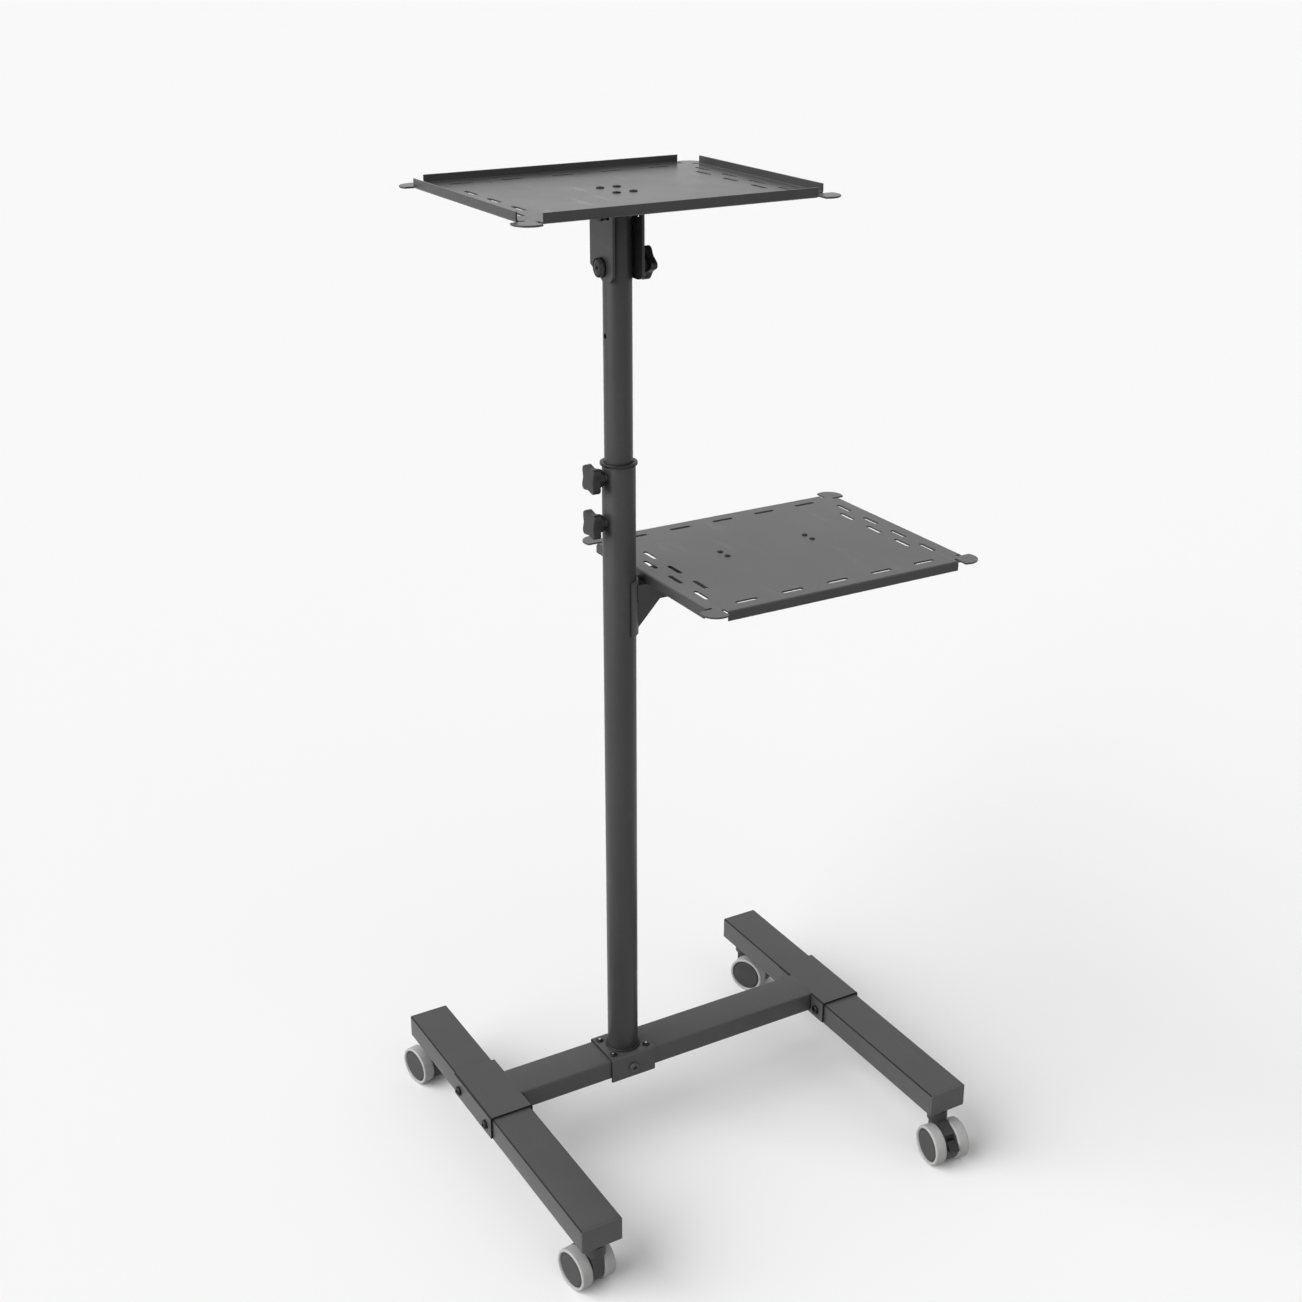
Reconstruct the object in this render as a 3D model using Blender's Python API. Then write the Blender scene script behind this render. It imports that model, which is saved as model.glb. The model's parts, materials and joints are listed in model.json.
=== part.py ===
"""A wheeled projector stand: an H-shaped base on four twin-wheel casters, a telescopic mast with two
clamping knobs, a tilting upper tray and a fixed lower tray on an arm. Metres, +Z up, floor at z = 0."""

import math

import bmesh
import bpy
from mathutils import Matrix, Vector

# Clearances
fit_gap = 0.0003
bolt_slack = 0.0003
cut_overrun = 0.002
joined_within = 0.00001
sharp_angle = math.radians(35)

# Casters
wheel_radius = 0.025
wheel_width = 0.0148
tyre_wall = 0.0037
tyre_round = 0.0015
hub_recess = 0.0012
hub_groove_width = 0.0018
hub_groove_depth = 0.001
wheel_side_gap = 0.0008
axle_end_gap = 0.0006
hood_width = 0.0157
hood_radius = 0.0225
hood_wrap = math.radians(80)
caster_trail = 0.0161
caster_height = 0.071
caster_plate_radius = 0.016
caster_plate_thickness = 0.003
raceway_radius = 0.0135
raceway_height = 0.003
swivel_head_radius = 0.0125
axle_radius = 0.003
axle_bite = 0.008
kingpin_radius = 0.004
kingpin_reach = 0.012
pivot_reach = 0.007
front_caster_inset = 0.018
rear_caster_inset = 0.0165
front_left_heading = math.radians(8.5)
front_right_heading = math.radians(173.5)
rear_left_heading = math.radians(11)
rear_right_heading = math.radians(207)

# Brake pedals of the front casters
pedal_width = 0.012
pedal_tip_radius = 0.002
pedal_eye_radius = 0.0035
pedal_length = 0.014
pedal_slope = math.radians(21)
pedal_pivot_out = 0.0165
pedal_pivot_rise = 0.0085
pedal_pin_radius = 0.0012
pedal_pin_bite = 0.0009
pedal_side_gap = 0.0004
pedal_pocket_depth = 0.0006

# Legs
leg_width = 0.051
leg_height = 0.030
leg_wall = 0.0014
leg_corner = 0.002
leg_front_reach = 0.281
leg_rear_reach = 0.197
left_leg_offset = 0.183
right_leg_offset = 0.301
end_cap_face = 0.003
end_cap_depth = 0.010
end_cap_wall = 0.002

# Sleeves that join the legs to the crossbeam
sleeve_length = 0.106
sleeve_wall = 0.0025
sleeve_bend = 0.0028
sleeve_drop = 0.030
sleeve_bolt_offset = 0.038
sleeve_bolt_radius = 0.003
sleeve_bolt_head_radius = 0.006
sleeve_bolt_head_height = 0.0035

# Crossbeam
beam_width = 0.051
beam_height = 0.026
beam_wall = 0.0014
beam_corner = 0.002

# Mast foot
foot_length = 0.062
foot_wall = 0.0027
foot_bend = 0.003
foot_drop = 0.0335
foot_screw_x = 0.0237
foot_screw_y = 0.018
foot_screw_radius = 0.0025
foot_bolt_drop = 0.0195
foot_bolt_radius = 0.004
foot_bolt_head_radius = 0.0065
foot_bolt_head_height = 0.0035
foot_weld_width = 0.003

# Mast
lower_tube_radius = 0.019
lower_tube_wall = 0.0015
lower_tube_top = 0.873
upper_tube_radius = 0.016
upper_tube_wall = 0.0018
upper_tube_bottom = 0.626
upper_tube_top = 1.157
collar_rim_radius = 0.0212
collar_lid = 0.0036
collar_edge = 0.0008
collar_insert = 0.035
plug_face = 0.002
plug_depth = 0.005
plug_wall = 0.002
index_hole_drop = 0.139
index_hole_radius = 0.003

# Clamping knobs
height_knob_drop = 0.0126
height_knob_pitch = 0.0525
height_knob_turn = math.radians(-42)
tilt_knob_turn = math.radians(3)
knob_skirt_radius = 0.0105
knob_skirt_length = 0.0082
knob_length = 0.0172
knob_standoff = 0.003
knob_lobe_count = 4
knob_lobe_reach = 0.0183
knob_lobe_radius = 0.0055
knob_lobe_wrap = math.radians(70)
knob_waist = 0.0125
knob_round = 0.002
knob_socket_depth = 0.005
boss_radius = 0.0055
stud_radius = 0.004
stud_bite = 0.010

# Tilting head
head_length = 0.050
head_wall = 0.003
head_bend = 0.004
head_corner = 0.010
head_rear_cut = 0.027
pivot_drop = 0.065
head_below_pivot = 0.014
pivot_to_tray = 0.077
pivot_bolt_radius = 0.004
pivot_head_radius = 0.011
pivot_head_height = 0.005
stop_radius_from_pivot = 0.056
stop_bolt_radius = 0.003
stop_head_radius = 0.008
stop_head_height = 0.003
tilt_limit = math.radians(15)
tilt_spare = math.radians(0.7)
tilt_spacer_radius = 0.010
tilt_spacer_length = 0.003

# Trays
tray_length = 0.354
tray_depth = 0.284
tray_wall = 0.002
tray_lip = 0.011
tray_bend = 0.003
lobe_reach = 0.010
lobe_radius = 0.027
lobe_wrap = math.radians(28)
relief_width = 0.004
relief_depth = 0.006
slot_length = 0.029
slot_width = 0.0055
slot_inset = 0.020
slot_inner_inset = 0.036
slot_row_pitch = 0.061
slot_row_count = 5
slot_column_pitch = 0.056
outer_slot_count = 4
inner_slot_count = 3
laptop_tray_x = 0.204
laptop_tray_y = -0.017
laptop_tray_top = 0.742
tray_screw_radius = 0.002
tray_screw_x = 0.010
tray_screw_y = 0.018

# Arm under the lower tray
saddle_wall = 0.0025
saddle_bottom = 0.671
saddle_height = 0.066
saddle_half_angle = math.radians(78)
arm_width = 0.032
arm_bottom = 0.710
arm_wall = 0.0025
arm_bend = 0.003
arm_end = 0.290
arm_notch_length = 0.006
gusset_thickness = 0.0025
gusset_bottom = 0.678
gusset_run = 0.030
gusset_lap = 0.008
gusset_toe = 0.001
arm_screw_root = 0.140
arm_screw_pitch = 0.120
arm_screw_y = 0.008

# Shares of a bolt head
dome_share = 0.8
dome_top_share = 0.5
socket_share = 0.5
socket_depth_share = 0.5

# Facets on round work
round_steps = 28
wheel_steps = 24
hub_steps = 16
bolt_steps = 10
bend_steps = 2
corner_steps = 4
slot_steps = 3

# Levels and places that follow
leg_top = caster_height + leg_height
sleeve_top = leg_top + fit_gap + sleeve_wall
beam_centre_z = sleeve_top - beam_height / 2
sleeve_width = leg_width + 2 * fit_gap + 2 * sleeve_wall
foot_top = sleeve_top + fit_gap + foot_wall
lower_tube_bottom = foot_top + fit_gap
height_knob_top = lower_tube_top - height_knob_drop
index_hole_height = upper_tube_top - index_hole_drop
pivot_height = upper_tube_top - pivot_drop
leg_places = {"left": -left_leg_offset, "right": right_leg_offset}
x_axis = Matrix.Rotation(math.radians(90), 4, "Y")
minus_x_axis = Matrix.Rotation(math.radians(-90), 4, "Y")
y_axis = Matrix.Rotation(math.radians(-90), 4, "X")
minus_y_axis = Matrix.Rotation(math.radians(90), 4, "X")
along_y = Matrix(((1, 0, 0, 0), (0, 0, -1, 0), (0, 1, 0, 0), (0, 0, 0, 1)))
along_x = Matrix(((0, 0, 1, 0), (1, 0, 0, 0), (0, 1, 0, 0), (0, 0, 0, 1)))


def clear_scene():
    for item in list(bpy.data.objects):
        bpy.data.objects.remove(item, do_unlink=True)


def material(name, colour, roughness, metallic):
    found = bpy.data.materials.get(name)
    if found:
        return found
    made = bpy.data.materials.new(name)
    made.use_nodes = True
    shader = made.node_tree.nodes["Principled BSDF"]
    shader.inputs["Base Color"].default_value = (*colour, 1.0)
    shader.inputs["Roughness"].default_value = roughness
    shader.inputs["Metallic"].default_value = metallic
    return made


def powder_coat():
    return material("charcoal powder coat", (0.075, 0.077, 0.080), 0.5, 0.0)


def black_plastic():
    return material("black plastic", (0.018, 0.018, 0.019), 0.45, 0.0)


def grey_plastic():
    return material("dark grey plastic", (0.06, 0.06, 0.062), 0.5, 0.0)


def tyre_rubber():
    return material("light grey rubber", (0.38, 0.38, 0.38), 0.6, 0.0)


def steel():
    return material("zinc plated steel", (0.45, 0.45, 0.46), 0.35, 1.0)


def black_steel():
    return material("blackened steel", (0.03, 0.03, 0.032), 0.4, 0.6)


def finish(name, bm, look, parent, at=(0, 0, 0), smooth=True):
    """Turns a bmesh into a named object whose mesh is closed and faces outward."""
    bmesh.ops.recalc_face_normals(bm, faces=bm.faces)
    mesh = bpy.data.meshes.new(name)
    bm.to_mesh(mesh)
    bm.free()
    if smooth:
        mesh.shade_smooth()
        mesh.set_sharp_from_angle(angle=sharp_angle)
    mesh.materials.append(look)
    return place(name, mesh, parent, at)


def place(name, mesh, parent, at=(0, 0, 0)):
    item = bpy.data.objects.new(name, mesh)
    bpy.context.scene.collection.objects.link(item)
    item.parent = parent
    item.location = at
    return item


def empty(name, parent=None, at=(0, 0, 0), turn=0.0):
    item = place(name, None, parent, at)
    item.rotation_euler = (0, 0, turn)
    return item


def cut(item, name, bm):
    """Subtracts a closed cutter, given in the item's own coordinates."""
    bmesh.ops.recalc_face_normals(bm, faces=bm.faces)
    mesh = bpy.data.meshes.new(name)
    bm.to_mesh(mesh)
    bm.free()
    cutter = place(name, mesh, item)
    cutter.hide_render = True
    cutter.display_type = "WIRE"
    change = item.modifiers.new(name, "BOOLEAN")
    change.operation = "DIFFERENCE"
    change.object = cutter


def unite(item, name, bm):
    """Adds a closed body that overlaps the item."""
    cut(item, name, bm)
    item.modifiers[name].operation = "UNION"


def add_outline(bm, outline, frame):
    corners = [bm.verts.new(frame @ Vector((u, v, 0))) for u, v in outline]
    return [bm.edges.new((a, b)) for a, b in zip(corners, corners[1:] + corners[:1])]


def add_prism(bm, outlines, depth, frame):
    """A plate of the first outline with the others as holes, centred on its plane."""
    edges = []
    for outline in outlines:
        edges += add_outline(bm, outline, frame @ Matrix.Translation((0, 0, -depth / 2)))
    filled = bmesh.ops.triangle_fill(bm, edges=edges, use_beauty=True)
    faces = [piece for piece in filled["geom"] if isinstance(piece, bmesh.types.BMFace)]
    grown = bmesh.ops.extrude_face_region(bm, geom=faces, use_keep_orig=True)
    moved = [piece for piece in grown["geom"] if isinstance(piece, bmesh.types.BMVert)]
    shift = frame.to_3x3() @ Vector((0, 0, depth))
    bmesh.ops.translate(bm, verts=moved, vec=shift)


def add_turned(bm, profile, steps, frame):
    """Spins points (radius, height) round the frame's Z axis; a profile that leaves the axis is a ring."""
    points = [bm.verts.new(frame @ Vector((radius, 0, height))) for radius, height in profile]
    ring = profile[0][0] > 0
    ends = points[1:] + points[:1] if ring else points[1:]
    lines = [bm.edges.new((a, b)) for a, b in zip(points, ends)]
    axis = frame.to_3x3() @ Vector((0, 0, 1))
    bmesh.ops.spin(bm, geom=points + lines, cent=frame.translation, axis=axis,
                   angle=math.tau, steps=steps, use_merge=True)
    bmesh.ops.remove_doubles(bm, verts=bm.verts, dist=joined_within)


def add_rod(bm, radius, low, high, frame, steps=bolt_steps):
    add_turned(bm, [(0, low), (radius, low), (radius, high), (0, high)], steps, frame)


def add_box(bm, low, high):
    made = bmesh.ops.create_cube(bm, size=1)
    middle = (Vector(low) + Vector(high)) / 2
    size = Vector(high) - Vector(low)
    bmesh.ops.scale(bm, vec=size, verts=made["verts"])
    bmesh.ops.translate(bm, vec=middle, verts=made["verts"])


def arc(centre, radius, start, end, steps):
    angles = [start + (end - start) * step / steps for step in range(steps + 1)]
    return [(centre[0] + radius * math.cos(a), centre[1] + radius * math.sin(a)) for a in angles]


def rounded_rectangle(width, height, radius, steps=bend_steps):
    across = width / 2 - radius
    up = height / 2 - radius
    quarter = math.pi / 2
    outline = []
    for turn, (sx, sy) in enumerate(((1, 1), (-1, 1), (-1, -1), (1, -1))):
        outline += arc((sx * across, sy * up), radius, turn * quarter, (turn + 1) * quarter, steps)
    return outline


def circle(centre, radius, steps=bolt_steps):
    return arc(centre, radius, 0, math.tau, steps)[:-1]


def channel_outline(width, height, wall, bend):
    """An upside-down U with bent corners: its web's top lies on v = 0 and its flanges hang down."""
    half = width / 2
    inner = half - wall
    small = max(bend - wall, fit_gap)
    quarter = math.pi / 2
    outline = [(half, -height)]
    outline += arc((half - bend, -bend), bend, 0, quarter, bend_steps)
    outline += arc((bend - half, -bend), bend, quarter, 2 * quarter, bend_steps)
    outline += [(-half, -height), (-inner, -height)]
    outline += arc((small - inner, -wall - small), small, 2 * quarter, quarter, bend_steps)
    outline += arc((inner - small, -wall - small), small, quarter, 0, bend_steps)
    outline += [(inner, -height)]
    return outline


def bolt_profile(radius, length, head_radius, head_height, domed=False):
    """A bolt from its tip at -length up to its head, whose bearing face is at height zero."""
    edge = head_height / 4
    crown = [(head_radius, 0), (head_radius, head_height - edge), (head_radius - edge, head_height)]
    if domed:
        crown = [(head_radius, 0), (head_radius, edge), (head_radius * dome_share, head_height - edge / 2)]
        crown += [(head_radius * dome_top_share, head_height)]
    socket = radius * socket_share
    depth = head_height * socket_depth_share
    return [(0, -length), (radius, -length), (radius, 0), *crown, (socket, head_height),
            (socket, head_height - depth), (0, head_height - depth)]


def add_slab(bm, outline, low, high, frame):
    """A closed slab between two heights; returns its low and high faces."""
    face = bm.faces.new([bm.verts.new(frame @ Vector((u, v, low))) for u, v in outline])
    grown = bmesh.ops.extrude_face_region(bm, geom=[face], use_keep_orig=True)["geom"]
    moved = [piece for piece in grown if isinstance(piece, bmesh.types.BMVert)]
    top = next(piece for piece in grown if isinstance(piece, bmesh.types.BMFace))
    bmesh.ops.translate(bm, verts=moved, vec=frame.to_3x3() @ Vector((0, 0, high - low)))
    bmesh.ops.recalc_face_normals(bm, faces=bm.faces)
    return face, top


def step(bm, face, inset, advance):
    """Insets a flat face and pushes its middle along the face's normal."""
    bmesh.ops.inset_region(bm, faces=[face], thickness=inset, use_even_offset=True)
    middle = bmesh.ops.extrude_discrete_faces(bm, faces=[face])["faces"][0]
    middle.normal_update()
    bmesh.ops.translate(bm, verts=middle.verts, vec=middle.normal * advance)
    return middle


def soften(bm, face, width, steps):
    bmesh.ops.bevel(bm, geom=list(face.edges), offset=width, offset_type="OFFSET", segments=steps,
                    profile=0.5, affect="EDGES", material=-1)


def teardrop(big, small, distance, turn=0.0):
    """The outline round a circle on the origin and a smaller one at a distance along the turn's direction."""
    touch = math.acos((big - small) / distance)
    tip = (distance * math.cos(turn), distance * math.sin(turn))
    outline = arc(tip, small, turn - touch, turn + touch, corner_steps)
    return outline + arc((0, 0), big, turn + touch, turn + math.tau - touch, bolt_steps)


def make_leg(name, x, parent):
    length = leg_front_reach + leg_rear_reach - 2 * (end_cap_face + fit_gap)
    middle = (leg_rear_reach - leg_front_reach) / 2
    bm = bmesh.new()
    outer = rounded_rectangle(leg_width, leg_height, leg_corner)
    inner = rounded_rectangle(leg_width - 2 * leg_wall, leg_height - 2 * leg_wall, leg_corner - leg_wall)
    add_prism(bm, [outer, inner], length, along_y)
    leg = finish(name, bm, powder_coat(), parent, (x, middle, leg_top - leg_height / 2))
    holes = bmesh.new()
    reach = leg_width / 2 + cut_overrun
    for y in (-sleeve_bolt_offset, sleeve_bolt_offset):
        spot = Matrix.Translation((0, y - middle, 0))
        add_rod(holes, sleeve_bolt_radius + bolt_slack, -reach, reach, spot @ x_axis)
    for y in (front_caster_inset - leg_front_reach, leg_rear_reach - rear_caster_inset):
        spot = Matrix.Translation((0, y - middle, -leg_height / 2))
        add_rod(holes, kingpin_radius + bolt_slack, -cut_overrun, leg_wall + cut_overrun, spot)
    cut(leg, name + "_holes", holes)


def make_end_caps(parent):
    """Four plugs, each a chamfered face with a hollow spigot inside the tube's end."""
    outline = rounded_rectangle(leg_width, leg_height, leg_corner)
    lap = leg_wall + fit_gap
    walls = [rounded_rectangle(leg_width - 2 * inset, leg_height - 2 * inset, leg_corner - leg_wall)
             for inset in (lap, lap + end_cap_wall)]
    level = leg_top - leg_height / 2
    middle = Matrix.Translation((0, 0, (end_cap_face + end_cap_depth) / 2))
    ends = (("front", -leg_front_reach, y_axis), ("rear", leg_rear_reach, minus_y_axis))
    for side, x in leg_places.items():
        for end, y, inward in ends:
            name = "leg_end_cap_" + end + "_" + side
            bm = bmesh.new()
            front = add_slab(bm, outline, 0, end_cap_face, inward)[0]
            soften(bm, front, end_cap_face / 4, 1)
            cap = finish(name, bm, powder_coat(), parent, (x, y, level))
            spigot = bmesh.new()
            add_prism(spigot, walls, end_cap_depth, inward @ middle)
            unite(cap, name + "_spigot", spigot)


def make_sleeve(name, x, parent):
    bm = bmesh.new()
    outline = channel_outline(sleeve_width, sleeve_drop, sleeve_wall, sleeve_bend)
    add_prism(bm, [outline], sleeve_length, along_y)
    sleeve = finish(name, bm, powder_coat(), parent, (x, 0, sleeve_top))
    holes = bmesh.new()
    reach = sleeve_width / 2 + cut_overrun
    for y in (-sleeve_bolt_offset, sleeve_bolt_offset):
        spot = Matrix.Translation((0, y, leg_top - leg_height / 2 - sleeve_top))
        add_rod(holes, sleeve_bolt_radius + bolt_slack, -reach, reach, spot @ x_axis)
    cut(sleeve, name + "_holes", holes)


def through_bolt(bm, radius, bearing, head_radius, head_height, frame):
    """A bolt between two bearing faces at minus and plus the bearing, with a socket head and a cap nut."""
    profile = bolt_profile(radius, 2 * bearing, head_radius, head_height)
    lifted = [(r, h + bearing) for r, h in profile[2:]]
    nut = [(0, -bearing - head_height), (head_radius, -bearing - head_height), (head_radius, -bearing),
           (radius, -bearing)]
    add_turned(bm, nut + lifted, bolt_steps, frame)


def make_sleeve_bolts(parent):
    bm = bmesh.new()
    through_bolt(bm, sleeve_bolt_radius, sleeve_width / 2 + fit_gap, sleeve_bolt_head_radius,
                 sleeve_bolt_head_height, minus_x_axis)
    first = None
    for side, x in leg_places.items():
        for end, y in (("front", -sleeve_bolt_offset), ("rear", sleeve_bolt_offset)):
            name = "sleeve_bolt_" + end + "_" + side
            at = (x, y, leg_top - leg_height / 2)
            if first is None:
                first = finish(name, bm, black_steel(), parent, at)
                continue
            place(name, first.data, parent, at)


def make_crossbeam(parent):
    """The tube that joins the two sleeves, with the holes that its mast foot is bolted through."""
    low = sleeve_width / 2 + fit_gap - left_leg_offset
    high = right_leg_offset - sleeve_width / 2 - fit_gap
    bm = bmesh.new()
    outer = rounded_rectangle(beam_width, beam_height, beam_corner)
    inner = rounded_rectangle(beam_width - 2 * beam_wall, beam_height - 2 * beam_wall,
                              beam_corner - beam_wall)
    add_prism(bm, [outer, inner], high - low, Matrix.Translation(((low + high) / 2, 0, 0)) @ along_x)
    beam = finish("crossbeam", bm, powder_coat(), parent, (0, 0, beam_centre_z))
    holes = bmesh.new()
    top = beam_height / 2
    for x in (-foot_screw_x, foot_screw_x):
        for y in (-foot_screw_y, foot_screw_y):
            spot = Matrix.Translation((x, y, top))
            add_rod(holes, foot_screw_radius + bolt_slack, -beam_wall - cut_overrun, cut_overrun, spot)
    reach = beam_width / 2 + cut_overrun
    spot = Matrix.Translation((0, 0, foot_bolt_z - beam_centre_z))
    add_rod(holes, foot_bolt_radius + bolt_slack, -reach, reach, spot @ y_axis)
    cut(beam, "crossbeam_holes", holes)


def make_foot(parent):
    """The bracket bent over the crossbeam, with its screw holes and its cross bolt."""
    width = beam_width + 2 * fit_gap + 2 * foot_wall
    bm = bmesh.new()
    add_prism(bm, [channel_outline(width, foot_drop, foot_wall, foot_bend)], foot_length, along_x)
    foot = finish("foot_bracket", bm, powder_coat(), parent, (0, 0, foot_top))
    holes = bmesh.new()
    for x in (-foot_screw_x, foot_screw_x):
        for y in (-foot_screw_y, foot_screw_y):
            add_rod(holes, foot_screw_radius + bolt_slack, -foot_wall - cut_overrun, cut_overrun,
                    Matrix.Translation((x, y, 0)))
    reach = width / 2 + cut_overrun
    add_rod(holes, foot_bolt_radius + bolt_slack, -reach, reach,
            Matrix.Translation((0, 0, foot_bolt_z - foot_top)) @ y_axis)
    cut(foot, "foot_bracket_holes", holes)
    bm = bmesh.new()
    through_bolt(bm, foot_bolt_radius, width / 2 + fit_gap, foot_bolt_head_radius, foot_bolt_head_height,
                 minus_y_axis)
    finish("foot_bolt", bm, black_steel(), parent, (0, 0, foot_bolt_z))


def tube_profile(radius, wall, low, high):
    return [(radius - wall, low), (radius, low), (radius, high), (radius - wall, high)]


def make_lower_tube(parent):
    """The outer tube with a weld bead at its foot and two threaded bosses for the height knobs."""
    bm = bmesh.new()
    profile = tube_profile(lower_tube_radius, lower_tube_wall, lower_tube_bottom, lower_tube_top)
    low = lower_tube_bottom
    bead = [(lower_tube_radius + foot_weld_width, low), (lower_tube_radius, low + foot_weld_width)]
    add_turned(bm, [profile[0], *bead, *profile[2:]], round_steps, Matrix())
    tube = finish("lower_tube", bm, powder_coat(), parent)
    bosses = bmesh.new()
    holes = bmesh.new()
    end = lower_tube_radius + knob_standoff + knob_socket_depth - fit_gap
    for z in knob_heights:
        spot = Matrix.Translation((0, 0, z)) @ minus_x_axis
        add_rod(bosses, boss_radius, lower_tube_radius - lower_tube_wall / 2, end, spot, bolt_steps)
        add_rod(holes, stud_radius + bolt_slack, lower_tube_radius - lower_tube_wall - cut_overrun,
                end + cut_overrun, spot)
    unite(tube, "lower_tube_bosses", bosses)
    cut(tube, "lower_tube_holes", holes)


def make_collar(parent):
    """The bushing in the lower tube's mouth: a thin liner under a ring that sits on the tube's end."""
    liner = lower_tube_radius - lower_tube_wall - fit_gap
    inner = upper_tube_radius + fit_gap
    seat = lower_tube_top + fit_gap
    top = lower_tube_top + collar_lid
    profile = [(inner, lower_tube_top - collar_insert), (liner, lower_tube_top - collar_insert),
               (liner, seat), (collar_rim_radius - collar_edge, seat),
               (collar_rim_radius, seat + collar_edge),
               (collar_rim_radius, top - collar_edge), (collar_rim_radius - collar_edge, top), (inner, top)]
    bm = bmesh.new()
    add_turned(bm, profile, round_steps, Matrix())
    collar = finish("mast_collar", bm, black_plastic(), parent)
    hole = bmesh.new()
    spot = Matrix.Translation((0, 0, height_knob_top)) @ minus_x_axis
    add_rod(hole, stud_radius + bolt_slack, inner - cut_overrun, liner + cut_overrun, spot)
    cut(collar, "mast_collar_hole", hole)


def knob_outline():
    """The head's outline: round-ended lobes with a waist between each two, the first lobe along u."""
    outline = []
    distance = knob_lobe_reach - knob_lobe_radius
    for lobe in range(knob_lobe_count):
        turn = lobe * math.tau / knob_lobe_count
        centre = (distance * math.cos(turn), distance * math.sin(turn))
        outline += arc(centre, knob_lobe_radius, turn - knob_lobe_wrap, turn + knob_lobe_wrap, corner_steps)
        between = turn + math.pi / knob_lobe_count
        outline.append((knob_waist * math.cos(between), knob_waist * math.sin(between)))
    return outline


def make_knob(name, parent, at, frame, turn, stud_reach=0.0):
    """A lobed knob on a round skirt, turning about X along the frame's Z axis, with a stud if it has one."""
    bm = bmesh.new()
    end_face = add_slab(bm, knob_outline(), knob_skirt_length, knob_length, frame)[1]
    soften(bm, end_face, knob_round, 2)
    knob = finish(name, bm, black_plastic(), parent, at)
    knob.rotation_euler.x = turn
    skirt = bmesh.new()
    overlap = knob_skirt_length + knob_round
    add_turned(skirt, [(0, 0), (knob_skirt_radius - knob_round / 2, 0), (knob_skirt_radius, knob_round),
                       (knob_skirt_radius, overlap), (0, overlap)], 2 * bolt_steps, frame)
    unite(knob, name + "_skirt", skirt)
    socket = bmesh.new()
    wide = boss_radius + fit_gap
    bore = stud_radius + fit_gap
    end = knob_socket_depth + (fit_gap if stud_reach else stud_bite + fit_gap)
    add_turned(socket, [(0, -cut_overrun), (wide, -cut_overrun), (wide, knob_socket_depth),
                        (bore, knob_socket_depth), (bore, end), (0, end)], bolt_steps, frame)
    cut(knob, name + "_socket", socket)
    if stud_reach:
        stud = bmesh.new()
        add_rod(stud, stud_radius, -stud_reach, knob_socket_depth + stud_bite, frame)
        unite(knob, name + "_stud", stud)


def make_height_knob(level, z, parent):
    stud_reach = lower_tube_radius + knob_standoff - upper_tube_radius - fit_gap
    at = (-lower_tube_radius - knob_standoff, 0, z)
    make_knob("height_knob_" + level, parent, at, minus_x_axis, height_knob_turn, stud_reach)


def make_upper_tube(parent):
    bm = bmesh.new()
    profile = tube_profile(upper_tube_radius, upper_tube_wall, upper_tube_bottom, upper_tube_top)
    add_turned(bm, profile, round_steps, Matrix())
    tube = finish("upper_tube", bm, powder_coat(), parent)
    holes = bmesh.new()
    reach = upper_tube_radius + cut_overrun
    add_rod(holes, pivot_bolt_radius + bolt_slack, -reach, reach, pivot_frame @ x_axis)
    stop = Matrix.Translation((0, 0, stop_radius_from_pivot))
    add_rod(holes, stop_bolt_radius + bolt_slack, -reach, reach, pivot_frame @ stop @ x_axis)
    index = Matrix.Translation((0, 0, index_hole_height)) @ minus_x_axis
    add_rod(holes, index_hole_radius, upper_tube_radius - upper_tube_wall - cut_overrun, reach, index)
    cut(tube, "upper_tube_holes", holes)
    bm = bmesh.new()
    frame = Matrix.Translation((0, 0, upper_tube_top + fit_gap))
    low, high = add_slab(bm, circle((0, 0), upper_tube_radius, round_steps), 0, plug_face, frame)
    soften(bm, high, plug_face / 4, 1)
    spigot = step(bm, low, upper_tube_wall + fit_gap, plug_depth)
    step(bm, spigot, plug_wall, -plug_depth)
    finish("upper_tube_plug", bm, black_plastic(), parent)


def head_screw_places():
    return [(x, y) for x in (-tray_screw_x, tray_screw_x) for y in (-tray_screw_y, tray_screw_y)]


def arm_screw_places():
    rows = (arm_screw_root, arm_screw_root + arm_screw_pitch)
    return [(x, y) for x in rows for y in (-arm_screw_y, arm_screw_y)]


def stop_slot():
    """The curved slot in the head's ears that the stop bolt runs in, in the ear's own plane."""
    half = stop_bolt_radius + bolt_slack
    sweep = tilt_limit + tilt_spare
    middle = math.pi / 2
    centre = stop_radius_from_pivot
    left = (centre * math.cos(middle + sweep), centre * math.sin(middle + sweep))
    right = (centre * math.cos(middle - sweep), centre * math.sin(middle - sweep))
    outline = arc((0, 0), centre + half, middle - sweep, middle + sweep, corner_steps)
    outline += arc(left, half, middle + sweep, middle + sweep + math.pi, slot_steps)[1:-1]
    outline += arc((0, 0), centre - half, middle + sweep, middle - sweep, corner_steps)
    outline += arc(right, half, middle - sweep - math.pi, middle - sweep, slot_steps)[1:-1]
    return outline


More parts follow.
